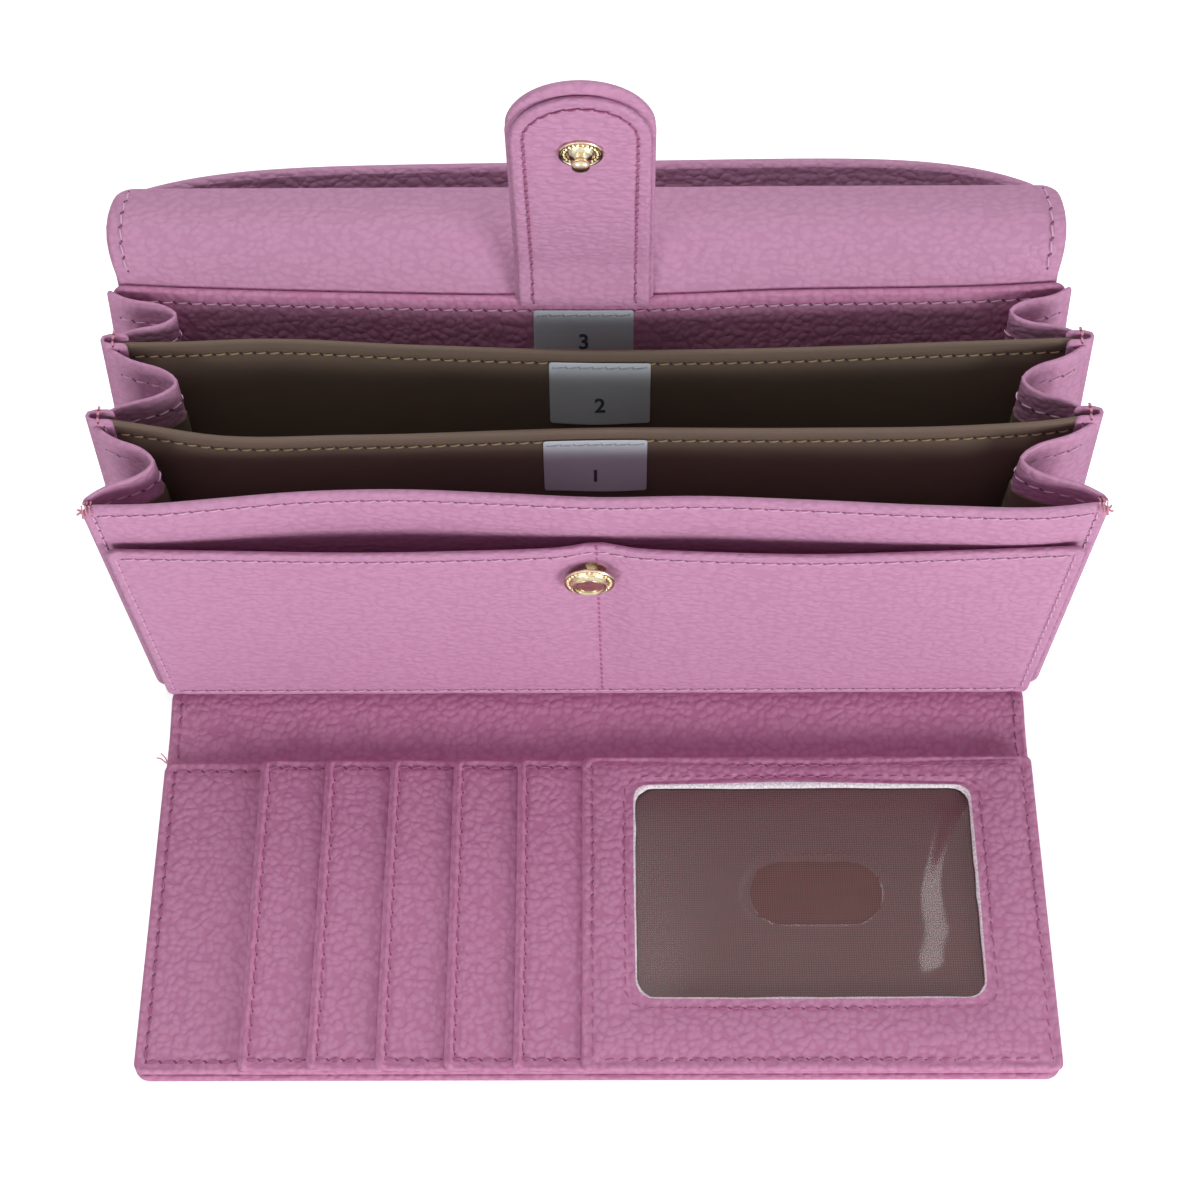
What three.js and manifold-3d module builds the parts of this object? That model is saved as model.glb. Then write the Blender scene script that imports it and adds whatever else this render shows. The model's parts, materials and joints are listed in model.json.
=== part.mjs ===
// An open accordion clutch wallet: a card flap that lies in front, three gusseted compartments
// that lean back behind the front wall, and a snap tab on the back.
// Millimetres, +X to the right, +Y to the back, +Z up. The origin is the middle of the underside.
import * as THREE from 'three';
import Module from 'manifold-3d';
import { mergeVertices } from 'three/addons/utils/BufferGeometryUtils.js';

const wasm = await Module();
wasm.setup();

// Running gap between pieces that are sewn or that turn beside each other
const GAP = 0.3;

// Cover: one sheet that runs from the card flap, through the gutter, to below the compartments
const COVER_WIDTH = 190;
const COVER_THICKNESS = 1.6;
const COVER_FRONT_Y = -98;
const COVER_REAR_Y = 16;
const FLAP_AXIS_Y = -18.5;
const FLAP_AXIS_Z = COVER_THICKNESS / 2;

// Walls of the accordion, from the card flap to the back. A wall is a flat leaning plate, and
// stands out a little past the cover at both sides.
const WALL_OVERHANG = 2;
const BODY_WIDTH = COVER_WIDTH + 2 * WALL_OVERHANG;
const WALL_FOOT_Z = COVER_THICKNESS + 0.5;
const OUTER_WALL_THICKNESS = 1.4;
const DIVIDER_THICKNESS = 1.2;
const DIVIDER_SIDE_MARGIN = 0.6;
const WALLS = {
  front: { footY: -8.5, headY: -8, headZ: 80, thickness: OUTER_WALL_THICKNESS },
  front_divider: { footY: -3.5, headY: 11.7, headZ: 80.5, thickness: DIVIDER_THICKNESS },
  rear_divider: { footY: 3.5, headY: 30.5, headZ: 79, thickness: DIVIDER_THICKNESS },
  rear: { footY: 10.5, headY: 45, headZ: 78.5, thickness: OUTER_WALL_THICKNESS },
};
const LINING_THICKNESS = 0.5;
const LINING_SIDE_CLEARANCE = 4;
const LINING_TOP_CLEARANCE = 1;

// Side gussets: a folded leather strip between each two walls
const GUSSET_LEG = 17.5;
const GUSSET_THICKNESS = 0.8;
const GUSSET_TOP_DROP = 2.5;

// Labels sewn to the front of each inner wall, just below its top edge
const LABEL_WIDTH = 20.4;
const LABEL_LENGTH = 14.5;
const LABEL_TOP_DROP = 2.2;
const LABEL_THICKNESS = 0.4;
const LABEL_X = { front_divider: 0.1, rear_divider: 1, rear: -2.3 };

// Slip pocket on the front wall, and the snap socket on it
const FRONT_POCKET_SIDE_MARGIN = 3;
const FRONT_POCKET_TOP_Z = 68;
const FRONT_POCKET_THICKNESS = 1.2;
const FRONT_POCKET_FOOT_GAP = GAP;
const FRONT_POCKET_MOUTH_GAP = 2.4;
const SNAP_X = -1.2;
const SOCKET_DROP = 10;
const SOCKET_Z = FRONT_POCKET_TOP_Z - SOCKET_DROP;
const SNAP_SHANK_RADIUS = 1.9;
const SOCKET_FLANGE_RADIUS = 5;
const SOCKET_HEIGHT = 2.9;
const SNAP_METAL = 0.6;

// Back: a panel that stands above the rear wall in a rounded band, and a slip pocket sheet on it
const BACK_SIDE_MARGIN = 0.5;
const BACK_WIDTH = COVER_WIDTH - 2 * BACK_SIDE_MARGIN;
const BACK_PANEL_THICKNESS = 2;
const BAND_RISE = 9.5;
const BAND_REACH = 16.5;
const BACK_SHEET_THICKNESS = 1.6;
const BACK_POCKET_GAP = 1.2;
const BACK_SHEET_TOP_DROP = 1.5;
const BACK_SHEET_BEND_DROP = 8;
const BACK_SHEET_LIP_REACH = 4;
const BACK_SHEET_LIP_RISE = 6;

// Snap tab: two leather layers that stand up behind the rear wall
const TAB_WIDTH = 28;
const TAB_RIM = 1;
const TAB_LENGTH = 70.5;
const TAB_LAYER = 1.3;
const TAB_FOOT_GAP = 1;
const TAB_LEAN = THREE.MathUtils.degToRad(9);
const STUD_HEIGHT_ON_TAB = 50;
const STUD_FLANGE_RADIUS = 4.1;
const STUD_BALL_RADIUS = 2.1;
const CAP_RADIUS = 6.2;

// Card panel on the flap: five shingled slots on the left, an ID window on the right
const PANEL_FRONT_Y = -97;
const PANEL_BACK_Y = -28;
const PANEL_THICKNESS = 1;
const SLOT_MARGIN = 21.5;
const SLOT_COUNT = 5;
const SLOT_PITCH = 14.05;
const SLOT_LAP = 2.2;
const SLOT_THICKNESS = 0.8;
const SLOT_RISE = 1;
const SLOT_SIDE_MARGIN = 0.6;
const ID_FRAME_THICKNESS = 1;
const ID_FILM_THICKNESS = 0.5;
const ID_LINING_THICKNESS = 0.5;
const ID_WINDOW_RADIUS = 4;
const ID_WINDOW_LEFT_MARGIN = 11.5;
const ID_WINDOW_RIGHT_MARGIN = 14.45;
const ID_WINDOW_FRONT_MARGIN = 15.3;
const ID_WINDOW_BACK_MARGIN = 7;
const ID_SEAM = 5;
const THUMB_HOLE_WIDTH = 28;
const THUMB_HOLE_DEPTH = 14;

const PINK = 0xcd94bb;
const TAUPE = 0x786658;
const GOLD = 0xe6d9b0;
const LATHE_STEPS = 20;

const leather = () => new THREE.MeshStandardMaterial({ color: PINK, roughness: 0.55 });
const nylon = () => new THREE.MeshStandardMaterial({ color: TAUPE, roughness: 0.85 });
const satin = () => new THREE.MeshStandardMaterial({ color: 0xdfe2ee, roughness: 0.6 });
const gold = () => new THREE.MeshStandardMaterial({ color: GOLD, roughness: 0.25, metalness: 1 });
const vinyl = () => new THREE.MeshStandardMaterial({ color: 0xf2f2f2, roughness: 0.1 });

function named(name, geometry, material) {
  const mesh = new THREE.Mesh(geometry, material);
  mesh.name = name;
  return mesh;
}

// A closed geometry as a solid, and a solid back as a geometry
function toSolid(geometry) {
  const bare = geometry.clone();
  bare.deleteAttribute('normal');
  bare.deleteAttribute('uv');
  const merged = mergeVertices(bare, 1e-4);
  return new wasm.Manifold(new wasm.Mesh({
    numProp: 3,
    vertProperties: new Float32Array(merged.attributes.position.array),
    triVerts: new Uint32Array(merged.index.array),
  }));
}

function toGeometry(solid) {
  const mesh = solid.getMesh();
  const geometry = new THREE.BufferGeometry();
  geometry.setAttribute('position', new THREE.BufferAttribute(mesh.vertProperties, 3));
  geometry.setIndex(new THREE.BufferAttribute(mesh.triVerts, 1));
  geometry.computeVertexNormals();
  return geometry;
}

const cut = (body, tool) => toGeometry(toSolid(body).subtract(toSolid(tool)));

// A box given by its two corners
function boxBetween(x0, x1, y0, y1, z0, z1) {
  const box = new THREE.BoxGeometry(x1 - x0, y1 - y0, z1 - z0);
  return box.translate((x0 + x1) / 2, (y0 + y1) / 2, (z0 + z1) / 2);
}

// An outline in Y and Z drawn out along X, centred
function sideProfile(points, width) {
  const shape = new THREE.Shape(points.map(([y, z]) => new THREE.Vector2(y, z)));
  const geometry = new THREE.ExtrudeGeometry(shape, { depth: width, bevelEnabled: false });
  const turn = new THREE.Matrix4().makeBasis(
    new THREE.Vector3(0, 1, 0), new THREE.Vector3(0, 0, 1), new THREE.Vector3(1, 0, 0));
  return geometry.translate(0, 0, -width / 2).applyMatrix4(turn);
}

// The closed outline of a strip of one thickness along a centre line in Y and Z
function stripOutline(centre, thickness) {
  const near = [];
  const far = [];
  centre.forEach((point, i) => {
    const before = centre[Math.max(i - 1, 0)];
    const after = centre[Math.min(i + 1, centre.length - 1)];
    const along = new THREE.Vector2(after[0] - before[0], after[1] - before[1]).normalize();
    const side = [-along.y * thickness / 2, along.x * thickness / 2];
    near.push([point[0] + side[0], point[1] + side[1]]);
    far.unshift([point[0] - side[0], point[1] - side[1]]);
  });
  return near.concat(far);
}

// A solid between two rings of as many points, the first ring below the second one
function ringLoft(lower, upper) {
  const count = lower.length;
  const caps = THREE.ShapeUtils.triangulateShape(lower.map(([x, y]) => new THREE.Vector2(x, y)), []);
  const positions = [...lower, ...upper].flat();
  const index = [];
  for (let i = 0; i < count; i += 1) {
    const next = (i + 1) % count;
    index.push(i, next, count + next, i, count + next, count + i);
  }
  caps.forEach(([a, b, c]) => {
    index.push(c, b, a);
    index.push(count + a, count + b, count + c);
  });
  const geometry = new THREE.BufferGeometry();
  geometry.setAttribute('position', new THREE.Float32BufferAttribute(positions, 3));
  geometry.setIndex(index);
  geometry.computeVertexNormals();
  return geometry;
}

// A lathe of radius and height pairs; its axis is turned from Y to the given direction
function lathe(profile, direction) {
  const points = profile.map(([radius, height]) => new THREE.Vector2(radius, height));
  const geometry = new THREE.LatheGeometry(points, LATHE_STEPS);
  const turn = new THREE.Quaternion().setFromUnitVectors(new THREE.Vector3(0, 1, 0), direction);
  return geometry.applyQuaternion(turn);
}

// Where the middle of a leaning wall is at a height
function wallY(wall, z) {
  return THREE.MathUtils.mapLinear(z, WALL_FOOT_Z, wall.headZ, wall.footY, wall.headY);
}

// A leaning plate that follows a wall at an offset, between two heights
function wallPlate(wall, offset, thickness, z0, z1, width) {
  const near = (z) => wallY(wall, z) + offset - thickness / 2;
  const far = (z) => wallY(wall, z) + offset + thickness / 2;
  return sideProfile([[near(z0), z0], [far(z0), z0], [far(z1), z1], [near(z1), z1]], width);
}

function makeCoverBase() {
  const frontY = FLAP_AXIS_Y + FLAP_AXIS_Z + GAP;
  const halfWidth = COVER_WIDTH / 2;
  const plate = boxBetween(-halfWidth, halfWidth, frontY, COVER_REAR_Y, 0, COVER_THICKNESS);
  return named('cover_base', plate, leather());
}

function makeFrontWall() {
  const wall = WALLS.front;
  const plate = wallPlate(wall, 0, wall.thickness, WALL_FOOT_Z, wall.headZ, BODY_WIDTH);
  return named('front_wall', plate, leather());
}

// The nylon that lines a leather wall on its compartment side; side is +1 behind the wall
function makeLining(name, wall, side) {
  const offset = side * (wall.thickness / 2 + GAP + LINING_THICKNESS / 2);
  const width = BODY_WIDTH - 2 * (GUSSET_LEG + LINING_SIDE_CLEARANCE);
  const topZ = wall.headZ - LABEL_TOP_DROP - LABEL_LENGTH - LINING_TOP_CLEARANCE;
  const plate = wallPlate(wall, offset, LINING_THICKNESS, WALL_FOOT_Z, topZ, width);
  return named(name, plate, nylon());
}

function pocketOffset(z) {
  const gap = THREE.MathUtils.mapLinear(
    z, WALL_FOOT_Z, FRONT_POCKET_TOP_Z, FRONT_POCKET_FOOT_GAP, FRONT_POCKET_MOUTH_GAP);
  return -(WALLS.front.thickness / 2 + gap);
}

function pocketFrontY(z) {
  return wallY(WALLS.front, z) + pocketOffset(z) - FRONT_POCKET_THICKNESS;
}

// Where the snap socket stands on the pocket, and which way it points
function socketPlace() {
  const place = new THREE.Vector3(SNAP_X, pocketFrontY(SOCKET_Z), SOCKET_Z);
  const lean = pocketFrontY(FRONT_POCKET_TOP_Z) - pocketFrontY(WALL_FOOT_Z);
  const rise = FRONT_POCKET_TOP_Z - WALL_FOOT_Z;
  const direction = new THREE.Vector3(0, -rise, lean).normalize();
  return { place, direction };
}

function makeFrontPocket() {
  const back = (z) => wallY(WALLS.front, z) + pocketOffset(z);
  const [low, high] = [WALL_FOOT_Z, FRONT_POCKET_TOP_Z];
  const sheet = sideProfile(
    [[pocketFrontY(low), low], [back(low), low], [back(high), high], [pocketFrontY(high), high]],
    BODY_WIDTH - 2 * FRONT_POCKET_SIDE_MARGIN);
  const { place, direction } = socketPlace();
  const reach = 3 * FRONT_POCKET_THICKNESS;
  const radius = SNAP_SHANK_RADIUS + GAP;
  const hole = lathe([[0, -reach], [radius, -reach], [radius, reach], [0, reach]], direction);
  hole.translate(place.x, place.y, place.z);
  return named('front_pocket', cut(sheet, hole), leather());
}

function makeSnapSocket() {
  const { place, direction } = socketPlace();
  const bore = SNAP_SHANK_RADIUS + GAP;
  const catchBore = STUD_BALL_RADIUS + 2 * GAP;
  const profile = [
    [bore, GAP], [SOCKET_FLANGE_RADIUS, GAP], [SOCKET_FLANGE_RADIUS, GAP + SNAP_METAL],
    [catchBore + 1.4, GAP + 1], [catchBore + 1.2, SOCKET_HEIGHT - 0.3],
    [catchBore + 0.8, SOCKET_HEIGHT], [catchBore + 0.3, SOCKET_HEIGHT],
    [catchBore, SOCKET_HEIGHT - 0.4], [catchBore, GAP + 0.8], [bore, GAP + 0.8], [bore, GAP],
  ];
  const mesh = named('snap_socket', lathe(profile, direction), gold());
  mesh.position.copy(place);
  return mesh;
}

function makeSocketRivet() {
  const { place, direction } = socketPlace();
  const behind = -(FRONT_POCKET_THICKNESS + GAP);
  const headRadius = STUD_BALL_RADIUS + GAP;
  const head = GAP + 0.8 + GAP;
  const flange = 2 * SNAP_SHANK_RADIUS;
  const profile = [
    [0, behind - SNAP_METAL], [flange, behind - SNAP_METAL],
    [flange, behind], [SNAP_SHANK_RADIUS, behind], [SNAP_SHANK_RADIUS, head],
    [headRadius, head], [headRadius, head + 0.4], [0, head + 0.4],
  ];
  const mesh = named('socket_rivet', lathe(profile, direction), gold());
  mesh.position.copy(place);
  return mesh;
}

function makeDivider(name) {
  const wall = WALLS[name];
  const width = BODY_WIDTH - 2 * DIVIDER_SIDE_MARGIN;
  const plate = wallPlate(wall, 0, wall.thickness, WALL_FOOT_Z, wall.headZ, width);
  return named(name, plate, nylon());
}

// One folded strip between two walls: two legs that meet in a crease inside the wallet
function makeGusset(name, wallA, wallB, side) {
  const outerX = side * BODY_WIDTH / 2;
  const topZ = Math.min(wallA.headZ, wallB.headZ) - GUSSET_TOP_DROP;
  const ring = (z) => {
    const front = wallY(wallA, z) + wallA.thickness / 2 + GAP;
    const rear = wallY(wallB, z) - wallB.thickness / 2 - GAP;
    const middle = (front + rear) / 2;
    const innerX = outerX - side * Math.sqrt(GUSSET_LEG ** 2 - ((rear - front) / 2) ** 2);
    const nookX = innerX + side * 3 * GUSSET_THICKNESS;
    const points = [
      [outerX, front, z], [innerX, middle, z], [outerX, rear, z],
      [outerX, rear - GUSSET_THICKNESS, z], [nookX, middle, z],
      [outerX, front + GUSSET_THICKNESS, z],
    ];
    return side > 0 ? points.reverse() : points;
  };
  return named(name, ringLoft(ring(WALL_FOOT_Z), ring(topZ)), leather());
}

// A satin label that hangs on the front of a wall
function makeLabel(name, wall, x) {
  const offset = -(wall.thickness / 2 + GAP + LABEL_THICKNESS / 2);
  const topZ = wall.headZ - LABEL_TOP_DROP;
  const plate = wallPlate(wall, offset, LABEL_THICKNESS, topZ - LABEL_LENGTH, topZ, LABEL_WIDTH);
  return named(name, plate.translate(x, 0, 0), satin());
}

function makeRearWall() {
  const wall = WALLS.rear;
  const plate = wallPlate(wall, 0, wall.thickness, WALL_FOOT_Z, wall.headZ, BODY_WIDTH);
  return named('rear_wall', plate, leather());
}

// The crease behind the top edge of the rear wall, where the band and the tab start
function creasePoint() {
  const wall = WALLS.rear;
  const y = wall.headY + wall.thickness / 2 + GAP + BACK_PANEL_THICKNESS / 2;
  return new THREE.Vector2(y, wall.headZ);
}

function makeBackPanel() {
  const wall = WALLS.rear;
  const crease = creasePoint();
  const foot = [wallY(wall, WALL_FOOT_Z) + crease.x - wall.headY, WALL_FOOT_Z];
  const mouth = new THREE.Vector2(crease.x + BAND_REACH, crease.y + 0.75 * BAND_RISE);
  const band = new THREE.CubicBezierCurve(
    crease,
    new THREE.Vector2(crease.x + 0.2 * BAND_REACH, crease.y + BAND_RISE),
    new THREE.Vector2(crease.x + 0.4 * BAND_REACH, crease.y + 1.05 * BAND_RISE),
    mouth);
  const centre = [foot, ...band.getPoints(7).map((point) => [point.x, point.y])];
  const outline = stripOutline(centre, BACK_PANEL_THICKNESS);
  return named('back_panel', sideProfile(outline, BACK_WIDTH), leather());
}

// The outer sheet of the back pocket: close to the panel below, it leans out to the mouth above
function makeBackPocketSheet() {
  const wall = WALLS.rear;
  const crease = creasePoint();
  const offset = (BACK_PANEL_THICKNESS + BACK_SHEET_THICKNESS) / 2 + BACK_POCKET_GAP;
  const panelLine = (z) => wallY(wall, z) + crease.x - wall.headY;
  const bendZ = wall.headZ - BACK_SHEET_BEND_DROP;
  const mouthY = crease.x + BAND_REACH + offset;
  const mouthZ = crease.y + 0.75 * BAND_RISE - BACK_SHEET_TOP_DROP;
  const centre = [
    [panelLine(WALL_FOOT_Z) + offset, WALL_FOOT_Z],
    [panelLine(bendZ) + offset, bendZ],
    [mouthY - BACK_SHEET_LIP_REACH, mouthZ - BACK_SHEET_LIP_RISE],
    [mouthY, mouthZ],
  ];
  const outline = stripOutline(centre, BACK_SHEET_THICKNESS);
  return named('back_pocket_sheet', sideProfile(outline, BACK_WIDTH), leather());
}

// Tab outline across X and up, with a round head
function tabShape(width, length) {
  const radius = width / 2;
  const shape = new THREE.Shape();
  shape.moveTo(-radius, 0);
  shape.lineTo(radius, 0);
  shape.lineTo(radius, length - radius);
  shape.absarc(0, length - radius, radius, 0, Math.PI, false);
  shape.closePath();
  return shape;
}

// One leather layer of the tab, drilled for the snap; its near face is at the given depth
function makeTabLayer(name, width, depth, thickness) {
  const rim = (TAB_WIDTH - width) / 2;
  const geometry = new THREE.ExtrudeGeometry(
    tabShape(width, TAB_LENGTH - rim), { depth: thickness, bevelEnabled: false, curveSegments: 10 });
  geometry.rotateX(Math.PI / 2).translate(0, depth + thickness, 0);
  const radius = SNAP_SHANK_RADIUS + GAP;
  const hole = lathe([[0, -9], [radius, -9], [radius, 9], [0, 9]], new THREE.Vector3(0, 1, 0));
  hole.translate(0, 0, STUD_HEIGHT_ON_TAB);
  return named(name, cut(geometry, hole), leather());
}

// The stud: a flange and a ball on the near face, and a shank that runs through both layers
function makeSnapStud() {
  const far = -2 * TAB_LAYER;
  const ballFoot = GAP + 1.2;
  const profile = [
    [0, far], [SNAP_SHANK_RADIUS, far], [SNAP_SHANK_RADIUS, GAP],
    [STUD_FLANGE_RADIUS, GAP], [STUD_FLANGE_RADIUS, GAP + 0.5], [2.4, ballFoot - 0.2],
    [STUD_BALL_RADIUS - 0.5, ballFoot], [STUD_BALL_RADIUS, ballFoot + 0.9],
    [STUD_BALL_RADIUS - 0.5, ballFoot + 1.7], [0, ballFoot + 2.1],
  ];
  const mesh = named('snap_stud', lathe(profile, new THREE.Vector3(0, -1, 0)), gold());
  mesh.position.set(0, -TAB_LAYER, STUD_HEIGHT_ON_TAB);
  return mesh;
}

function makeSnapCap() {
  const profile = [
    [0, GAP], [CAP_RADIUS, GAP], [CAP_RADIUS, GAP + 0.5],
    [0.8 * CAP_RADIUS, GAP + 1.2], [0.4 * CAP_RADIUS, GAP + 1.6], [0, GAP + 1.7],
  ];
  const mesh = named('snap_cap', lathe(profile, new THREE.Vector3(0, 1, 0)), gold());
  mesh.position.set(0, TAB_LAYER, STUD_HEIGHT_ON_TAB);
  return mesh;
}

// The tab turns about the middle of its foot, just above the rear wall's top edge
function makeTab() {
  const tab = new THREE.Group();
  tab.add(makeTabLayer('tab_lining', TAB_WIDTH - 2 * TAB_RIM, -TAB_LAYER, TAB_LAYER - GAP / 2));
  tab.add(makeTabLayer('tab_outer', TAB_WIDTH, GAP / 2, TAB_LAYER - GAP / 2));
  tab.add(makeSnapStud());
  tab.add(makeSnapCap());
  const footZ = WALLS.rear.headZ + TAB_FOOT_GAP + TAB_LAYER;
  tab.position.set(SNAP_X, WALLS.rear.headY, footZ);
  tab.rotation.x = TAB_LEAN;
  return tab;
}

// The flap's sheet ends in a half round about its fold axis
function makeCoverFlap() {
  const radius = COVER_THICKNESS / 2;
  const shape = new THREE.Shape();
  shape.moveTo(FLAP_AXIS_Y, FLAP_AXIS_Z + radius);
  shape.lineTo(COVER_FRONT_Y, FLAP_AXIS_Z + radius);
  shape.lineTo(COVER_FRONT_Y, FLAP_AXIS_Z - radius);
  shape.lineTo(FLAP_AXIS_Y, FLAP_AXIS_Z - radius);
  shape.absarc(FLAP_AXIS_Y, FLAP_AXIS_Z, radius, -Math.PI / 2, Math.PI / 2, false);
  const outline = shape.getPoints(6).map((point) => [point.x, point.y]);
  outline.pop();
  return named('cover_flap', sideProfile(outline, COVER_WIDTH), leather());
}

function makeCardPanel() {
  const halfWidth = COVER_WIDTH / 2;
  const top = COVER_THICKNESS + PANEL_THICKNESS;
  const plate = boxBetween(
    -halfWidth, halfWidth, PANEL_FRONT_Y, PANEL_BACK_Y, COVER_THICKNESS, top);
  return named('card_panel', plate, leather());
}

// Where the folded left edge of a slot is; the ID frame takes the place after the last slot
function slotLeft(number) {
  return SLOT_MARGIN - COVER_WIDTH / 2 + (number - 1) * SLOT_PITCH;
}

// A card slot: a shingle that is high at its folded left edge and runs under the next one
function makeCardSlot(number) {
  const left = slotLeft(number);
  const right = left + SLOT_PITCH + SLOT_LAP;
  const foot = COVER_THICKNESS + PANEL_THICKNESS;
  const shape = new THREE.Shape([
    new THREE.Vector2(left, foot + SLOT_RISE),
    new THREE.Vector2(right, foot),
    new THREE.Vector2(right, foot + SLOT_THICKNESS),
    new THREE.Vector2(left, foot + SLOT_RISE + SLOT_THICKNESS),
  ]);
  const depth = PANEL_BACK_Y - PANEL_FRONT_Y - 2 * SLOT_SIDE_MARGIN;
  const geometry = new THREE.ExtrudeGeometry(shape, { depth, bevelEnabled: false });
  geometry.rotateX(Math.PI / 2).translate(0, PANEL_BACK_Y - SLOT_SIDE_MARGIN, 0);
  return named(`card_slot_${number}`, geometry, leather());
}

// A flat plate with round corners and one round-cornered window in it
function framedPlate(outer, inner, thickness, bottomZ) {
  const shape = roundedPath(new THREE.Shape(), outer);
  shape.holes.push(roundedPath(new THREE.Path(), inner));
  const geometry = new THREE.ExtrudeGeometry(
    shape, { depth: thickness, bevelEnabled: false, curveSegments: 6 });
  return geometry.translate(0, 0, bottomZ);
}

function roundedPath(path, { x0, x1, y0, y1, radius }) {
  path.moveTo(x0 + radius, y0);
  path.lineTo(x1 - radius, y0);
  path.absarc(x1 - radius, y0 + radius, radius, -Math.PI / 2, 0, false);
  path.lineTo(x1, y1 - radius);
  path.absarc(x1 - radius, y1 - radius, radius, 0, Math.PI / 2, false);
  path.lineTo(x0 + radius, y1);
  path.absarc(x0 + radius, y1 - radius, radius, Math.PI / 2, Math.PI, false);
  path.lineTo(x0, y0 + radius);
  path.absarc(x0 + radius, y0 + radius, radius, Math.PI, 1.5 * Math.PI, false);
  return path;
}

// The ID window: lining, clear film with a thumb hole, and the leather frame over both
function makeIdWindow() {
  const group = new THREE.Group();
  const outer = {
    x0: slotLeft(SLOT_COUNT + 1), x1: COVER_WIDTH / 2,
    y0: PANEL_FRONT_Y, y1: PANEL_BACK_Y, radius: 0.5,
  };
  const window = {
    x0: outer.x0 + ID_WINDOW_LEFT_MARGIN, x1: outer.x1 - ID_WINDOW_RIGHT_MARGIN,
    y0: outer.y0 + ID_WINDOW_FRONT_MARGIN, y1: outer.y1 - ID_WINDOW_BACK_MARGIN,
    radius: ID_WINDOW_RADIUS,
  };
  const sewn = {
    x0: window.x0 - ID_SEAM, x1: window.x1 + ID_SEAM,
    y0: window.y0 - ID_SEAM, y1: window.y1 + ID_SEAM, radius: 1,
  };
  const centreX = (window.x0 + window.x1) / 2;
  const centreY = (window.y0 + window.y1) / 2;
  const thumb = {
    x0: centreX - THUMB_HOLE_WIDTH / 2, x1: centreX + THUMB_HOLE_WIDTH / 2,
    y0: centreY - THUMB_HOLE_DEPTH / 2, y1: centreY + THUMB_HOLE_DEPTH / 2,
    radius: THUMB_HOLE_DEPTH / 2 - 0.01,
  };
  const liningZ = COVER_THICKNESS + PANEL_THICKNESS;
  const filmZ = liningZ + ID_LINING_THICKNESS;
  const frameZ = filmZ + ID_FILM_THICKNESS;
  const lining = boxBetween(sewn.x0, sewn.x1, sewn.y0, sewn.y1, liningZ, filmZ);
  group.add(named('id_window_lining', lining, nylon()));
  group.add(named('id_window_film', framedPlate(sewn, thumb, ID_FILM_THICKNESS, filmZ), vinyl()));
  group.add(named('id_window_frame', framedPlate(outer, window, ID_FRAME_THICKNESS, frameZ), leather()));
  return group;
}

function makeAccordion() {
  const group = new THREE.Group();
  const order = ['front', 'front_divider', 'rear_divider', 'rear'];
  const places = ['front', 'middle', 'rear'];
  places.forEach((place, i) => {
    const walls = [WALLS[order[i]], WALLS[order[i + 1]]];
    group.add(makeGusset(`gusset_left_${place}`, ...walls, -1));
    group.add(makeGusset(`gusset_right_${place}`, ...walls, 1));
  });
  ['front_divider', 'rear_divider'].forEach((name) => group.add(makeDivider(name)));
  group.add(makeLabel('label_1', WALLS.front_divider, LABEL_X.front_divider));
  group.add(makeLabel('label_2', WALLS.rear_divider, LABEL_X.rear_divider));
  group.add(makeLabel('label_3', WALLS.rear, LABEL_X.rear));
  group.add(makeLining('front_wall_lining', WALLS.front, 1));
  group.add(makeLining('rear_wall_lining', WALLS.rear, -1));
  return group;
}

function makeFlap() {
  const group = new THREE.Group();
  group.add(makeCoverFlap());
  group.add(makeCardPanel());
  for (let number = 1; number <= SLOT_COUNT; number += 1) {
    group.add(makeCardSlot(number));
  }
  group.add(makeIdWindow());
  return group;
}

const wallet = new THREE.Group();
wallet.add(makeCoverBase(), makeFrontWall(), makeFrontPocket(), makeSnapSocket(), makeSocketRivet());
wallet.add(makeAccordion(), makeRearWall(), makeBackPanel(), makeBackPocketSheet());
wallet.add(makeTab(), makeFlap());

export default wallet;
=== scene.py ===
"""An open accordion clutch wallet in pebbled pink leather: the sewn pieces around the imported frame.
Lengths are millimetres until a mesh is made, which turns them to metres."""
import json
import math

import bpy
import numpy as np
from mathutils import Matrix, Vector


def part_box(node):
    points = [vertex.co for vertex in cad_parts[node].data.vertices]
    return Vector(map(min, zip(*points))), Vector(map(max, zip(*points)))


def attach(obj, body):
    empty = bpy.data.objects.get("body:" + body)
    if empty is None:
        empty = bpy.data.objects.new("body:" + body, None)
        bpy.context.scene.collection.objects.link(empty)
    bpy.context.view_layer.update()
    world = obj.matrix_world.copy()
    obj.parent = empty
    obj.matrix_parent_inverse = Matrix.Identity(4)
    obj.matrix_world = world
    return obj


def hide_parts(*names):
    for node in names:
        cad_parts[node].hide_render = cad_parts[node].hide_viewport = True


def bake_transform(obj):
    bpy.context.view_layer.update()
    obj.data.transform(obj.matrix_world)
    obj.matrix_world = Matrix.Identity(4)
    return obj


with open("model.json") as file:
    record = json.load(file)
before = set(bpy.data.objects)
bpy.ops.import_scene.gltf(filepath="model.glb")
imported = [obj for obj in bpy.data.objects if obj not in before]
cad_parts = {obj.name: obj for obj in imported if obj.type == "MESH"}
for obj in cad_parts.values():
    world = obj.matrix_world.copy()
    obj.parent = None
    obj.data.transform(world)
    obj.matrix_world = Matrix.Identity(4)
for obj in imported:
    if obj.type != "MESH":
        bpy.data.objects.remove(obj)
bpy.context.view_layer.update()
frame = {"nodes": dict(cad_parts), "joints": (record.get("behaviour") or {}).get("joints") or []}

MM = 0.001

# Thread and seams
THREAD_RADIUS = 0.2
STITCH_PITCH = 3.0
FINE_STITCH_PITCH = 2.1
SEAM_INSET = 2.4
GROOVE_DEPTH = 0.22
GROOVE_WIDTH = 0.55

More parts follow.
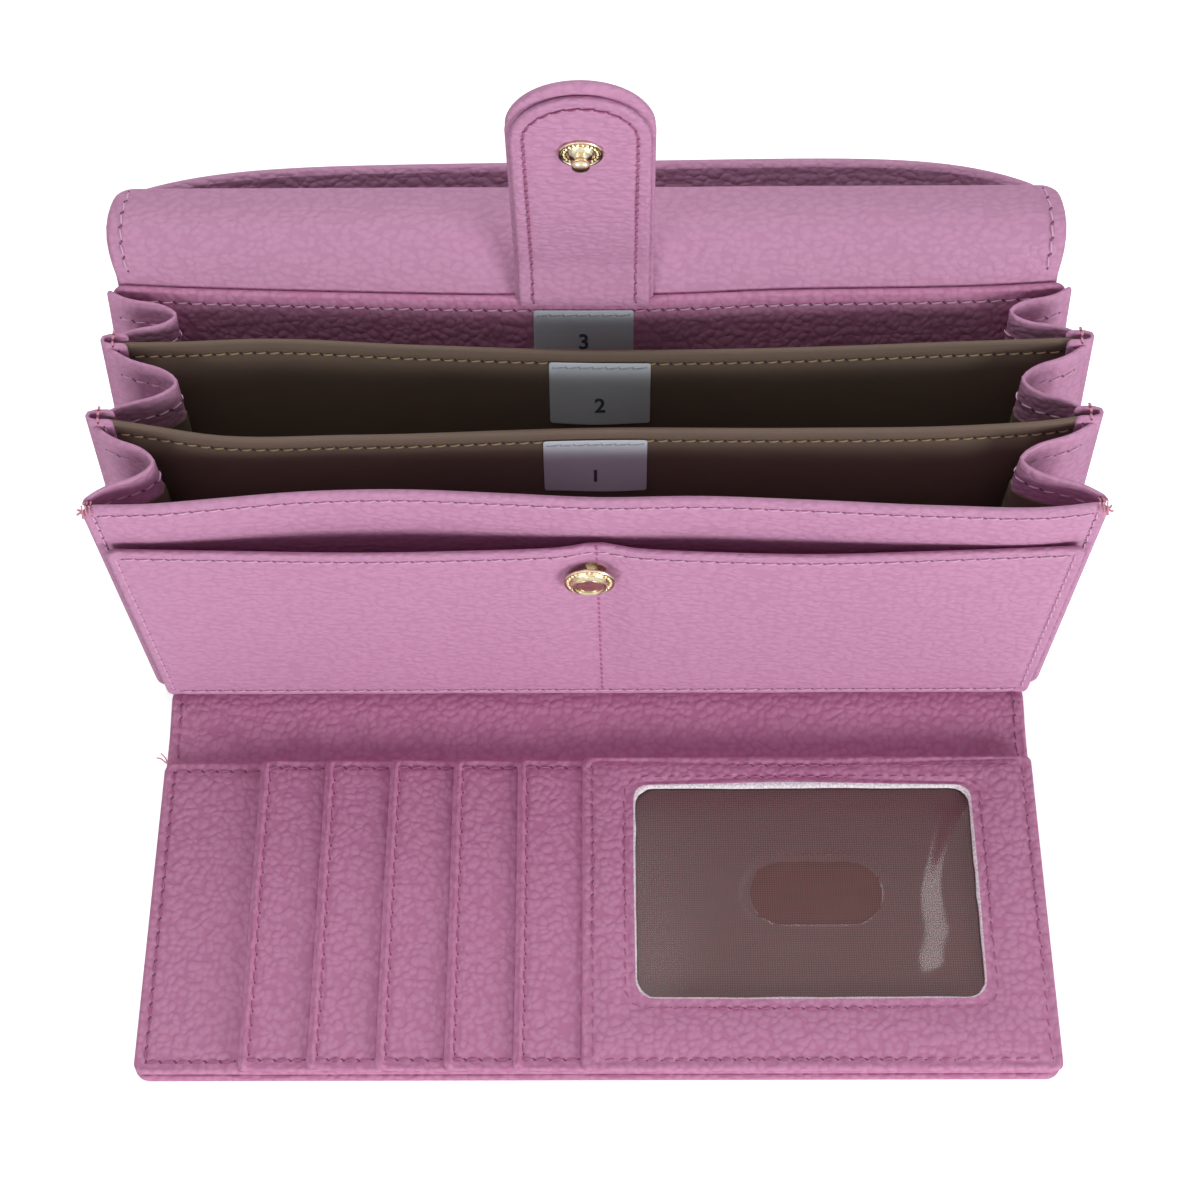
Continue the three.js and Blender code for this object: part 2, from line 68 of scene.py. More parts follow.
# Leather thicknesses with their turned edges
COVER_THICKNESS = 1.6
WALL_THICKNESS = 1.4
DIVIDER_THICKNESS = 1.2
PANEL_THICKNESS = 1.5
SLOT_THICKNESS = 0.8
POCKET_THICKNESS = 1.2
GUSSET_THICKNESS = 0.8
LINING_THICKNESS = 0.3
LABEL_THICKNESS = 0.3

# Camera fitted to the photograph's corners
LENS_PIXELS = 2043.0
PHOTO_PIXELS = 1200.0
SENSOR = 36.0
CAMERA_PLACE = (2.65, -204.0, 417.2)
CAMERA_PITCH = 62.49
CAMERA_YAW = -0.53
CAMERA_ROLL = -0.66


def linear(hex_colour):
    """An sRGB hex colour as linear red, green, blue and alpha."""
    parts = [int(hex_colour[i:i + 2], 16) / 255 for i in (1, 3, 5)]
    return tuple(c / 12.92 if c <= 0.04045 else ((c + 0.055) / 1.055) ** 2.4 for c in parts) + (1.0,)


def add_node(tree, kind, settings=None, links=None, values=None):
    """Adds a node, sets its properties and socket values, and links sockets to it."""
    node = tree.nodes.new(kind)
    for key, value in (settings or {}).items():
        setattr(node, key, value)
    for key, value in (values or {}).items():
        node.inputs[key].default_value = value
    for key, source in (links or {}).items():
        tree.links.new(source, node.inputs[key])
    return node


def ramp(tree, factor, stops):
    """A colour ramp over a factor, from (position, hex) stops."""
    node = add_node(tree, "ShaderNodeValToRGB", links={"Fac": factor})
    elements = node.color_ramp.elements
    while len(elements) < len(stops):
        elements.new(0.5)
    for element, (position, colour) in zip(elements, stops):
        element.position = position
        element.color = linear(colour)
    return node.outputs["Color"]


def new_material(name):
    material = bpy.data.materials.new(name)
    material.use_nodes = True
    tree = material.node_tree
    shader = tree.nodes["Principled BSDF"]
    place = add_node(tree, "ShaderNodeTexCoord").outputs["Object"]
    return material, tree, shader, place


def scaled(tree, place, size_mm, stretch=(1, 1, 1)):
    """Object coordinates in units of one real size in millimetres."""
    factors = [1 / (size_mm * MM * s) for s in stretch]
    node = add_node(tree, "ShaderNodeMapping", values={"Scale": factors}, links={"Vector": place})
    return node.outputs["Vector"]


def pebbled_leather(name, crease, face, grain, depth, stretch=(1, 1, 1)):
    """Chrome-tanned cowhide, drummed until its grain stands up in soft round pebbles, with a
    satin pigment finish: one colour with slight broad patches of tone, painted a little darker in the creases between
    pebbles as painted shade, and broad soft highlights that break up over the pebbles."""
    material, tree, shader, place = new_material(name)
    pull = scaled(tree, place, grain, stretch)
    wander = add_node(tree, "ShaderNodeTexNoise", values={"Scale": 0.35, "Detail": 1.0},
                      links={"Vector": pull})
    bent = add_node(tree, "ShaderNodeVectorMath", {"operation": "MULTIPLY_ADD"},
                    links={0: wander.outputs["Color"], 2: pull}, values={1: (1.2, 1.2, 1.2)})
    cells = add_node(tree, "ShaderNodeTexVoronoi", {"feature": "SMOOTH_F1"},
                     values={"Scale": 1.0, "Smoothness": 0.22, "Randomness": 0.85},
                     links={"Vector": bent.outputs["Vector"]})
    fall = add_node(tree, "ShaderNodeMath", {"operation": "POWER"},
                    links={0: cells.outputs["Distance"]}, values={1: 1.7})
    pebble = add_node(tree, "ShaderNodeMapRange", links={"Value": fall.outputs["Value"]},
                      values={"From Min": 0.55, "From Max": 0.0})
    fine = add_node(tree, "ShaderNodeTexNoise", values={"Scale": 1.6, "Detail": 4.0},
                    links={"Vector": scaled(tree, place, grain)})
    height = add_node(tree, "ShaderNodeMath", {"operation": "MULTIPLY_ADD"},
                      links={0: fine.outputs["Fac"], 2: pebble.outputs["Result"]}, values={1: 0.35})
    bump = add_node(tree, "ShaderNodeBump", links={"Height": height.outputs["Value"]},
                    values={"Strength": 1.0, "Distance": depth * MM})
    tree.links.new(bump.outputs["Normal"], shader.inputs["Normal"])
    broad = add_node(tree, "ShaderNodeTexNoise", values={"Scale": 1.0, "Detail": 2.0},
                     links={"Vector": scaled(tree, place, 40)})
    # Painted shade: the pebble value darkens the hollows between pebbles towards the crease colour; the broad noise
    # adds random patches of tone.
    tone_and_crease_shade = add_node(tree, "ShaderNodeMath", {"operation": "MULTIPLY_ADD"},
                     links={0: broad.outputs["Fac"], 2: pebble.outputs["Result"]}, values={1: 0.4})
    colour = ramp(tree, tone_and_crease_shade.outputs["Value"], [(0.2, crease), (0.9, face)])
    tree.links.new(colour, shader.inputs["Base Color"])
    shader.inputs["Roughness"].default_value = 0.52
    shader.inputs["IOR"].default_value = 1.48
    shader.inputs["Specular IOR Level"].default_value = 0.25
    return material


def woven_nylon(name, dark, light, thread=0.34, weft_way="Z"):
    """Plain-woven nylon taffeta: fine crossed threads with a faint sheen and slight slubs."""
    material, tree, shader, place = new_material(name)
    warp = add_node(tree, "ShaderNodeTexWave", {"bands_direction": "X"},
                    values={"Scale": 0.5, "Distortion": 0.5, "Detail": 1.0},
                    links={"Vector": scaled(tree, place, thread)})
    weft = add_node(tree, "ShaderNodeTexWave", {"bands_direction": weft_way},
                    values={"Scale": 0.5, "Distortion": 0.5, "Detail": 1.0},
                    links={"Vector": scaled(tree, place, thread)})
    slubs = add_node(tree, "ShaderNodeTexNoise", values={"Scale": 1.0, "Detail": 3.0},
                     links={"Vector": scaled(tree, place, 2.5, (3, 1, 1))})
    weave = add_node(tree, "ShaderNodeMath", {"operation": "MULTIPLY"},
                     links={0: warp.outputs["Fac"], 1: weft.outputs["Fac"]})
    tone = add_node(tree, "ShaderNodeMath", {"operation": "MULTIPLY_ADD"},
                    links={0: slubs.outputs["Fac"], 2: weave.outputs["Value"]}, values={1: 0.25})
    colour = ramp(tree, tone.outputs["Value"], [(0.1, dark), (0.9, light)])
    tree.links.new(colour, shader.inputs["Base Color"])
    bump = add_node(tree, "ShaderNodeBump", links={"Height": weave.outputs["Value"]},
                    values={"Strength": 0.5, "Distance": 0.05 * MM})
    tree.links.new(bump.outputs["Normal"], shader.inputs["Normal"])
    shader.inputs["Roughness"].default_value = 0.6
    shader.inputs["Specular IOR Level"].default_value = 0.3
    return material


def satin_ribbon():
    """Woven polyester satin ribbon: smooth long floats that shine a little along the weft."""
    material, tree, shader, place = new_material("polyester_satin")
    rib = add_node(tree, "ShaderNodeTexWave", {"bands_direction": "Z"},
                   values={"Scale": 0.5, "Distortion": 0.3},
                   links={"Vector": scaled(tree, place, 0.4)})
    colour = ramp(tree, rib.outputs["Fac"], [(0.0, "#C6CDD7"), (1.0, "#E0E5EC")])
    tree.links.new(colour, shader.inputs["Base Color"])
    bump = add_node(tree, "ShaderNodeBump", links={"Height": rib.outputs["Fac"]},
                    values={"Strength": 0.3, "Distance": 0.04 * MM})
    tree.links.new(bump.outputs["Normal"], shader.inputs["Normal"])
    shader.inputs["Roughness"].default_value = 0.45
    return material


def sewing_thread(name, dark, light):
    """Twisted polyester thread: a soft lustre across its plies."""
    material, tree, shader, place = new_material(name)
    twist = add_node(tree, "ShaderNodeTexWave", {"bands_direction": "DIAGONAL"},
                     values={"Scale": 0.5, "Distortion": 0.5},
                     links={"Vector": scaled(tree, place, 0.3)})
    tree.links.new(ramp(tree, twist.outputs["Fac"], [(0.0, dark), (1.0, light)]),
                   shader.inputs["Base Color"])
    shader.inputs["Roughness"].default_value = 0.55
    return material


def needle_hole(name, dark, light):
    """The pricked sheet where thread goes down: dull and sunken, painted dark as painted shade inside the hole."""
    material, tree, shader, place = new_material(name)
    speck = add_node(tree, "ShaderNodeTexNoise", links={"Vector": scaled(tree, place, 0.5)})
    tree.links.new(ramp(tree, speck.outputs["Fac"], [(0.2, dark), (0.8, light)]),
                   shader.inputs["Base Color"])
    shader.inputs["Roughness"].default_value = 0.9
    return material


def raw_cut_edge():
    """The cut edge of the leather round the window: pale fibres, matte and slightly torn."""
    material, tree, shader, place = new_material("raw_cut_edge")
    fibres = add_node(tree, "ShaderNodeTexNoise", values={"Scale": 1.0, "Detail": 4.0},
                      links={"Vector": scaled(tree, place, 0.5)})
    tree.links.new(ramp(tree, fibres.outputs["Fac"], [(0.3, "#C9B9C4"), (0.6, "#F4F0F2")]),
                   shader.inputs["Base Color"])
    bump = add_node(tree, "ShaderNodeBump", links={"Height": fibres.outputs["Fac"]},
                    values={"Strength": 0.8, "Distance": 0.2 * MM})
    tree.links.new(bump.outputs["Normal"], shader.inputs["Normal"])
    shader.inputs["Roughness"].default_value = 0.9
    return material


def plated_gold():
    """Pale gold plating on stamped brass: mirror-bright with faint handling marks."""
    material, tree, shader, place = new_material("plated_pale_gold")
    marks = add_node(tree, "ShaderNodeTexNoise", values={"Scale": 1.0, "Detail": 5.0},
                     links={"Vector": scaled(tree, place, 0.8)})
    rough = add_node(tree, "ShaderNodeMapRange", links={"Value": marks.outputs["Fac"]},
                     values={"To Min": 0.14, "To Max": 0.3})
    tree.links.new(rough.outputs["Result"], shader.inputs["Roughness"])
    tree.links.new(ramp(tree, marks.outputs["Fac"], [(0.3, "#DCCBA6"), (0.7, "#EEE2C6")]),
                   shader.inputs["Base Color"])
    shader.inputs["Metallic"].default_value = 1.0
    return material


def clear_vinyl():
    """Calendered clear PVC film: it mirrors a little of the room and lets the rest through."""
    material, tree, shader, place = new_material("clear_pvc_film")
    scuffs = add_node(tree, "ShaderNodeTexNoise", values={"Scale": 1.0, "Detail": 3.0},
                      links={"Vector": scaled(tree, place, 9)})
    rough = add_node(tree, "ShaderNodeMapRange", links={"Value": scuffs.outputs["Fac"]},
                     values={"To Min": 0.13, "To Max": 0.19})
    gloss = add_node(tree, "ShaderNodeBsdfGlossy", links={"Roughness": rough.outputs["Result"]})
    clear = add_node(tree, "ShaderNodeBsdfTransparent")
    clear.inputs["Color"].default_value = linear("#FBF5FA")
    slope = add_node(tree, "ShaderNodeLayerWeight", values={"Blend": 0.5})
    grazing = add_node(tree, "ShaderNodeMath", {"operation": "POWER"},
                       links={0: slope.outputs["Facing"]}, values={1: 5.0})
    share = add_node(tree, "ShaderNodeMapRange", links={"Value": grazing.outputs["Value"]},
                     values={"To Min": 0.04, "To Max": 0.6})
    mix = add_node(tree, "ShaderNodeMixShader", links={
        0: share.outputs["Result"], 1: clear.outputs["BSDF"], 2: gloss.outputs["BSDF"]})
    tree.links.new(mix.outputs["Shader"], tree.nodes["Material Output"].inputs["Surface"])
    tree.nodes.remove(shader)
    return material


# Each leather's first colour is painted shade in the creases between pebbles; its second is the leather's own colour.
LEATHER = pebbled_leather("pebbled_cowhide_fine", "#C08AAC", "#C892B4", grain=1.3, depth=0.18,
                          stretch=(1.4, 1.0, 0.95))
FLAP_LEATHER = pebbled_leather("pebbled_cowhide_coarse", "#BF7CA2", "#C98BAE", grain=1.6, depth=0.2)
NYLON = woven_nylon("taupe_nylon_taffeta", "#5F5047", "#7D6A5B")
THREAD = sewing_thread("pink_polyester_thread", "#CDA0BF", "#E0BCD4")
ROSE_THREAD = sewing_thread("rose_polyester_thread", "#A0567F", "#B56C93")
TAUPE_THREAD = sewing_thread("tan_polyester_thread", "#94805F", "#B39C78")
SALMON_THREAD = sewing_thread("salmon_polyester_thread", "#C47F92", "#D996A6")
# Needle holes: flat ovals painted dark, as painted shade where the holes go into the sheet.
HOLE = needle_hole("needle_hole_leather", "#6E3A59", "#8A4F72")
NYLON_HOLE = needle_hole("needle_hole_nylon", "#2E241F", "#3D3029")
RAW_EDGE = raw_cut_edge()
SATIN = satin_ribbon()
GOLD = plated_gold()
FILM = clear_vinyl()


def print_ink():
    """Printed label ink: flat dark grey with slightly uneven cover."""
    material, tree, shader, place = new_material("label_ink")
    cover = add_node(tree, "ShaderNodeTexNoise", links={"Vector": scaled(tree, place, 0.6)})
    tree.links.new(ramp(tree, cover.outputs["Fac"], [(0.3, "#33353F"), (0.8, "#4A4D59")]),
                   shader.inputs["Base Color"])
    shader.inputs["Roughness"].default_value = 0.7
    return material


INK = print_ink()


def node_box(name):
    """A CAD node's lowest and highest corners in millimetres."""
    low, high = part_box(name)
    return np.array(low) / MM, np.array(high) / MM


def smoothstep(x):
    x = np.clip(x, 0.0, 1.0)
    return x * x * (3 - 2 * x)


def through(points, x):
    """A smooth curve through given (x, value) points."""
    xs = np.array([p[0] for p in points], float)
    ys = np.array([p[1] for p in points], float)
    slopes = np.gradient(ys, xs)
    x = np.clip(x, xs[0], xs[-1])
    i = np.clip(np.searchsorted(xs, x, side="right") - 1, 0, len(xs) - 2)
    width = xs[i + 1] - xs[i]
    t = (x - xs[i]) / width
    a, b = ys[i], ys[i + 1]
    m0, m1 = slopes[i] * width, slopes[i + 1] * width
    return (a * (2 * t**3 - 3 * t**2 + 1) + m0 * (t**3 - 2 * t**2 + t)
            + b * (3 * t**2 - 2 * t**3) + m1 * (t**3 - t**2))


def soft_waves(x, y, size, seed):
    """Gentle unevenness between -1 and 1, with waves of about one size."""
    rng = np.random.default_rng(seed)
    total = np.zeros(np.broadcast(x, y).shape)
    for _ in range(5):
        angle, phase, stretch = rng.uniform(0, 2 * math.pi), rng.uniform(0, 6.3), rng.uniform(0.7, 1.6)
        along = (x * math.cos(angle) + y * math.sin(angle)) / (size * stretch)
        total += np.sin(2 * math.pi * along + phase)
    return total / 5


class Piece:
    """Collects the faces of one sewn piece in millimetres, each with one of its finishes."""

    def __init__(self, name, *finishes):
        self.name = name
        self.finishes = finishes
        self.points = []
        self.faces = []
        self.finish_of_face = []

    def add(self, points, faces, finish=0):
        start = len(self.points)
        self.points.extend(np.asarray(points, float).reshape(-1, 3).tolist())
        self.faces.extend([tuple(start + i for i in face) for face in faces])
        self.finish_of_face.extend(np.broadcast_to(finish, len(faces)).tolist())

    def build(self, body=None, replaces=(), crisp=False):
        mesh = bpy.data.meshes.new(self.name)
        mesh.from_pydata([[c * MM for c in p] for p in self.points], [], self.faces)
        for finish in self.finishes:
            mesh.materials.append(finish)
        mesh.polygons.foreach_set("material_index", self.finish_of_face)
        mesh.polygons.foreach_set("use_smooth", [True] * len(self.faces))
        mesh.update()
        obj = bpy.data.objects.new(self.name, mesh)
        bpy.context.scene.collection.objects.link(obj)
        if crisp:
            mesh.set_sharp_from_angle(angle=math.radians(32))
        if body:
            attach(obj, body)
        if replaces:
            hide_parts(*replaces)
        return obj


EDGE_STEPS = (0.0, 0.5, 1.0, 1.35, 1.6, 1.9, 2.4, 3.2, 4.6, 6.8)
RIM_STEPS = 5


def stations(low, high, step):
    """Places between two edges, close together near each edge."""
    steps = [s for s in EDGE_STEPS if s < 0.45 * (high - low)]
    count = max(2, int(math.ceil((high - low - 2 * steps[-1]) / step)))
    inner = np.linspace(low + steps[-1], high - steps[-1], count + 1)[1:-1]
    return np.concatenate([low + np.array(steps), inner, high - np.array(steps[::-1])])


def grid_faces(rows, columns, start=0, flip=False):
    """Quads over a grid of points that is stored row by row."""
    faces = []
    for i in range(rows - 1):
        for j in range(columns - 1):
            a = start + i * columns + j
            quad = (a, a + columns, a + columns + 1, a + 1)
            faces.append(quad[::-1] if flip else quad)
    return faces


def frame_at(surface, a, b, face):
    """Points of a surface with their two directions and the normal on its good side."""
    eps = 0.05
    points = surface(a, b)
    along_a = surface(a + eps, b) - surface(a - eps, b)
    along_b = surface(a, b + eps) - surface(a, b - eps)
    along_a /= np.linalg.norm(along_a, axis=-1, keepdims=True)
    along_b /= np.linalg.norm(along_b, axis=-1, keepdims=True)
    normal = np.cross(along_a, along_b)
    normal *= face / np.linalg.norm(normal, axis=-1, keepdims=True)
    return points, along_a, along_b, normal


def rounded_grid(a_places, b_places, corner):
    """A grid of (a, b) with its corners drawn in to a radius, and its outward directions."""
    a, b = np.meshgrid(a_places, b_places, indexing="ij")
    mid_a, mid_b = a.mean(), b.mean()
    half_a, half_b = (a_places[-1] - a_places[0]) / 2, (b_places[-1] - b_places[0]) / 2
    off_a, off_b = a - mid_a, b - mid_b
    in_a = np.abs(off_a) - (half_a - corner)
    in_b = np.abs(off_b) - (half_b - corner)
    both = (in_a > 0) & (in_b > 0)
    reach = np.hypot(in_a, in_b)
    scale = np.where(both, np.maximum(in_a, in_b) / np.maximum(reach, 1e-9), 1.0)
    new_a = np.where(both, np.sign(off_a) * (half_a - corner + in_a * scale), off_a) + mid_a
    new_b = np.where(both, np.sign(off_b) * (half_b - corner + in_b * scale), off_b) + mid_b
    out_a = np.where(both, np.sign(off_a) * in_a, np.where(in_a >= in_b, np.sign(off_a), 0.0))
    out_b = np.where(both, np.sign(off_b) * in_b, np.where(in_b > in_a, np.sign(off_b), 0.0))
    size = np.maximum(np.hypot(out_a, out_b), 1e-9)
    return new_a, new_b, out_a / size, out_b / size


def border(rows, columns):
    """Indices round the edge of a grid, in order."""
    top = [(0, j) for j in range(columns)]
    right = [(i, columns - 1) for i in range(1, rows)]
    bottom = [(rows - 1, j) for j in range(columns - 2, -1, -1)]
    left = [(i, 0) for i in range(rows - 2, 0, -1)]
    return top + right + bottom + left


def groove(distance, seam):
    """How far a seam draws the leather in, at a distance from the edge."""
    if seam is None:
        return 0.0 * distance
    return -GROOVE_DEPTH * np.exp(-(((distance - seam) / GROOVE_WIDTH) ** 2))


def sheet(piece, surface, span_a, span_b, thickness, face=1, corner=1.5, seam=None, step=4.0,
          finish=0, back_finish=None, relief=None):
    """A sheet with rolled edges. surface(a, b) is its middle, in millimetres along each way."""
    half = thickness / 2
    a_places = stations(span_a[0] + half, span_a[1] - half, step)
    b_places = stations(span_b[0] + half, span_b[1] - half, step)
    a, b, out_a, out_b = rounded_grid(a_places, b_places, corner)
    points, along_a, along_b, normal = frame_at(surface, a, b, face)
    edge = np.minimum.reduce([a - span_a[0], span_a[1] - a, b - span_b[0], span_b[1] - b])
    lift = half + groove(edge, seam)
    if relief is not None:
        lift = lift + relief(a, b)
    rows, columns = a.shape
    rim = border(rows, columns)
    for i, j in rim:
        lift[i, j] = half
    front = points + normal * lift[..., None]
    back = points - normal * half
    flip = face < 0
    piece.add(front, grid_faces(rows, columns, flip=flip), finish)
    piece.add(back, grid_faces(rows, columns, flip=not flip), finish if back_finish is None else back_finish)
    index = tuple(np.array(rim).T)
    outward = along_a[index] * out_a[index][:, None] + along_b[index] * out_b[index][:, None]
    rings = []
    for k in range(RIM_STEPS + 1):
        turn = math.pi * k / RIM_STEPS
        ring = points[index] + normal[index] * half * math.cos(turn) + outward * half * math.sin(turn)
        rings.append(ring)
    count = len(rim)
    faces = []
    for k in range(RIM_STEPS):
        for i in range(count):
            j = (i + 1) % count
            quad = (k * count + i, k * count + j, (k + 1) * count + j, (k + 1) * count + i)
            faces.append(quad if flip else quad[::-1])
    piece.add(np.array(rings), faces, finish)


def on_sheet(surface, line, lift, face=1):
    """Points and normals along a line of (a, b) places on a sheet, raised to its surface."""
    line = np.array(line, float)
    points, _, _, normal = frame_at(surface, line[:, 0], line[:, 1], face)
    return points + normal * lift, normal


def resample(points, normals, pitch):
    """Places at an even pitch along a line, with the direction and normal there."""
    lengths = np.concatenate([[0], np.cumsum(np.linalg.norm(np.diff(points, axis=0), axis=1))])
    count = max(1, int(round(lengths[-1] / pitch)))
    marks = (np.arange(count) + 0.5) * lengths[-1] / count
    at = np.stack([np.interp(marks, lengths, points[:, k]) for k in range(3)], axis=1)
    up = np.stack([np.interp(marks, lengths, normals[:, k]) for k in range(3)], axis=1)
    ahead = np.stack([np.interp(marks + 0.2, lengths, points[:, k]) for k in range(3)], axis=1)
    behind = np.stack([np.interp(marks - 0.2, lengths, points[:, k]) for k in range(3)], axis=1)
    way = ahead - behind
    way /= np.maximum(np.linalg.norm(way, axis=1, keepdims=True), 1e-9)
    up /= np.linalg.norm(up, axis=1, keepdims=True)
    return at, way, up, lengths[-1] / count


def stitches(piece, path, thread, hole, pitch=STITCH_PITCH, slant=7.0, radius=THREAD_RADIUS):
    """A row of thread lengths that dip into pricked holes at both ends."""
    at, way, up, spacing = resample(*path, pitch)
    side = np.cross(up, way)
    turn = math.radians(slant)
    way_slanted = way * math.cos(turn) + side * math.sin(turn)
    side_slanted = np.cross(up, way_slanted)
    half = 0.41 * spacing
    marks = (-1.0, -0.72, -0.3, 0.3, 0.72, 1.0)
    sides = 6
    rings = []
    for mark in marks:
        width = radius * math.sqrt(max(0.0, 1.08 - mark * mark))
        rise = radius * (0.75 - 1.7 * mark**4)
        centre = at + way_slanted * half * mark + up * rise
        for k in range(sides):
            angle = 2 * math.pi * k / sides
            rings.append(centre + side_slanted * width * math.cos(angle) + up * width * math.sin(angle))
    rings = np.array(rings).transpose(1, 0, 2)
    faces = []
    for m in range(len(marks) - 1):
        for k in range(sides):
            n = (k + 1) % sides
            faces.append((m * sides + k, m * sides + n, (m + 1) * sides + n, (m + 1) * sides + k))
    per_stitch = len(marks) * sides
    caps = [tuple(range(sides))[::-1], tuple((len(marks) - 1) * sides + k for k in range(sides))]
    all_faces = [tuple(i * per_stitch + v for v in face) for i in range(len(at)) for face in faces + caps]
    piece.add(rings, all_faces, thread)
    needle_holes(piece, at, way_slanted, side_slanted, up, half, hole)


def needle_holes(piece, at, way, side, up, half, finish):
    """The small ovals where each thread length goes down, painted dark as painted shade inside each hole."""
    corners = 8
    dots = []
    for end in (-1, 1):
        centre = at + way * (half + 0.12) * end + up * 0.04
        ring = [centre + up * 0.02]
        for k in range(corners):
            angle = 2 * math.pi * k / corners
            ring.append(centre + way * 0.3 * math.cos(angle) + side * 0.22 * math.sin(angle) - up * 0.03)
        dots.append(np.array(ring).transpose(1, 0, 2))
    points = np.concatenate(dots)
    per_dot = corners + 1
    faces = []
    for i in range(len(points)):
        for k in range(corners):
            faces.append((i * per_dot, i * per_dot + 1 + k, i * per_dot + 1 + (k + 1) % corners))
    piece.add(points, faces, finish)


def loose_ends(piece, root, ways, finish, radius=0.16):
    """Short curling thread ends left at a corner."""
    for n, way in enumerate(ways):
        way = np.array(way, float)
        length = np.linalg.norm(way)
        steps = 9
        sides = 5
        cross_a = np.cross(way, (0.3, 0.5, 0.81))
        cross_a /= np.linalg.norm(cross_a)
        cross_b = np.cross(way / length, cross_a)
        rings = []
        for i in range(steps):
            t = i / (steps - 1)
            curl = 0.22 * length * math.sin(math.pi * (1.1 * t + 0.3 * n)) * t
            centre = np.array(root) + way * t + cross_a * curl
            for k in range(sides):
                angle = 2 * math.pi * k / sides
                rings.append(centre + radius * (cross_a * math.cos(angle) + cross_b * math.sin(angle)))
        faces = [tuple(range(sides))[::-1], tuple((steps - 1) * sides + k for k in range(sides))]
        for i in range(steps - 1):
            for k in range(sides):
                j = (k + 1) % sides
                faces.append((i * sides + k, i * sides + j, (i + 1) * sides + j, (i + 1) * sides + k))
        piece.add(rings, faces, finish)


def corner_knot(piece, corner, side, finish):
    """The back-tack at a top corner: thread lashed over the corner, with frayed ends."""
    x, y, z = corner
    for offset in (-0.5, 0.2, 0.9):
        path, up = [], []
        for angle in np.linspace(-0.3, math.pi + 0.3, 12):
            reach = -math.cos(angle) * 1.25
            path.append((x + side * offset, y + reach, z + 0.1 + 1.0 * math.sin(angle)))
            up.append((0.2 * side, -math.cos(angle), math.sin(angle)))
        stitches(piece, (np.array(path), np.array(up)), finish, finish, pitch=2.4, radius=0.2)
    root = (x + side * 0.9, y - 0.9, z + 0.4)
    ways = [(side * 1.2, -0.3, -0.5), (side * 1.0, 0.5, 0.2), (side * 0.3, -0.8, -1.2)]
    loose_ends(piece, root, ways, finish, radius=0.24)


def straight(a0, b0, a1, b1, count=60):
    """A straight line of places on a sheet."""
    return np.stack([np.linspace(a0, a1, count), np.linspace(b0, b1, count)], axis=1)


class Wall:
    """A leaning wall of the accordion, read from its CAD node: its middle line and its bow."""

    def __init__(self, node, thickness, left, right, bow):
        low, high = node_box(node)
        self.low_z, self.high_z = low[2], high[2]
        self.foot_y, self.head_y = low[1] + thickness / 2, high[1] - thickness / 2
        self.left, self.right = left, right
        self.thickness = thickness
        self.bow = bow

    def end(self, side):
        return self.right if side > 0 else self.left

    def y(self, z):
        return self.foot_y + (self.head_y - self.foot_y) * (z - self.low_z) / (self.high_z - self.low_z)

    def surface(self, x, z):
        """The bowed sheet: straight at its foot, pushed out by its bow at the top."""
        rise = smoothstep((z - self.low_z) / (self.high_z - self.low_z)) ** 1.3
        y = self.y(z) + through(self.bow, x) * rise
        return np.stack([x, y, z + 0 * x], axis=-1)


FRONT_WALL = Wall("front_wall", WALL_THICKNESS, -98.4, 98.4, [
    (-97, 0), (-85, 0.2), (-75, 1.1), (-56, 2.8), (-37, 3.2), (-18, 2.3), (1, 1.3), (20, 1.5),
    (39, 0.7), (67, -0.8), (88, -1.1), (97, 0)])
FRONT_DIVIDER = Wall("front_divider", DIVIDER_THICKNESS, -98.2, 98.0, [
    (-97, 0), (-88, -1.6), (-75, -4.0), (-47, -4.2), (1, -2.8), (40, -3.0), (75, -2.4), (90, -1.2), (97, 0)])
REAR_DIVIDER = Wall("rear_divider", DIVIDER_THICKNESS, -97.7, 98.6, [
    (-97, 0), (-82, 0.2), (-68, 0.8), (-36, -0.8), (3, -2.2), (35, -1.9), (75, -0.4), (97, 0.4)])
REAR_WALL = Wall("rear_wall", WALL_THICKNESS, -99.6, 97.2, [
    (-97, 0), (-84, -0.8), (-59, -1.8), (-15, -3.0), (12, -3.0), (35, -2.0), (84, -0.9), (97, 0)])
WALL_ORDER = (FRONT_WALL, FRONT_DIVIDER, REAR_DIVIDER, REAR_WALL)


def cover_surface(x, y):
    """The cover from the flap's near edge through the hollow gutter to below the compartments."""
    wall_foot = FRONT_WALL.foot_y - 3.5
    near = smoothstep((y - (wall_foot - 11)) / 11) - smoothstep((y - wall_foot) / 3.0)
    lift = 1.5 * near + 0.25 * near * soft_waves(x, y, 23, 4)
    return np.stack([x, y + 0 * x, COVER_THICKNESS / 2 + lift], axis=-1)


def make_cover():
    low, _ = node_box("cover_flap")
    _, high = node_box("cover_base")
    piece = Piece("cover", FLAP_LEATHER, ROSE_THREAD, HOLE)
    span_a, span_b = (low[0], high[0]), (low[1], high[1])
    sheet(piece, cover_surface, span_a, span_b, COVER_THICKNESS, corner=2.5, seam=None, step=3.0)
    gutter_start, gutter_end = node_box("card_panel")[1][1] + 1.5, FRONT_WALL.foot_y - 3
    for side in (span_a[0] + SEAM_INSET, span_a[1] - SEAM_INSET):
        line = straight(side, gutter_start, side, gutter_end)
        stitches(piece, on_sheet(cover_surface, line, COVER_THICKNESS / 2), 1, 2)
    cover = piece.build()
    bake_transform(cover)
    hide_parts("cover_base", "cover_flap")
    return cover


def frame_joint(name):
    return next(joint for joint in frame["joints"] if joint["name"] == name)


CARD_LOW, CARD_HIGH = node_box("card_panel")
ID_LOW, ID_HIGH = node_box("id_window_frame")
SLOT_BOXES = [node_box(f"card_slot_{number}") for number in range(1, 6)]


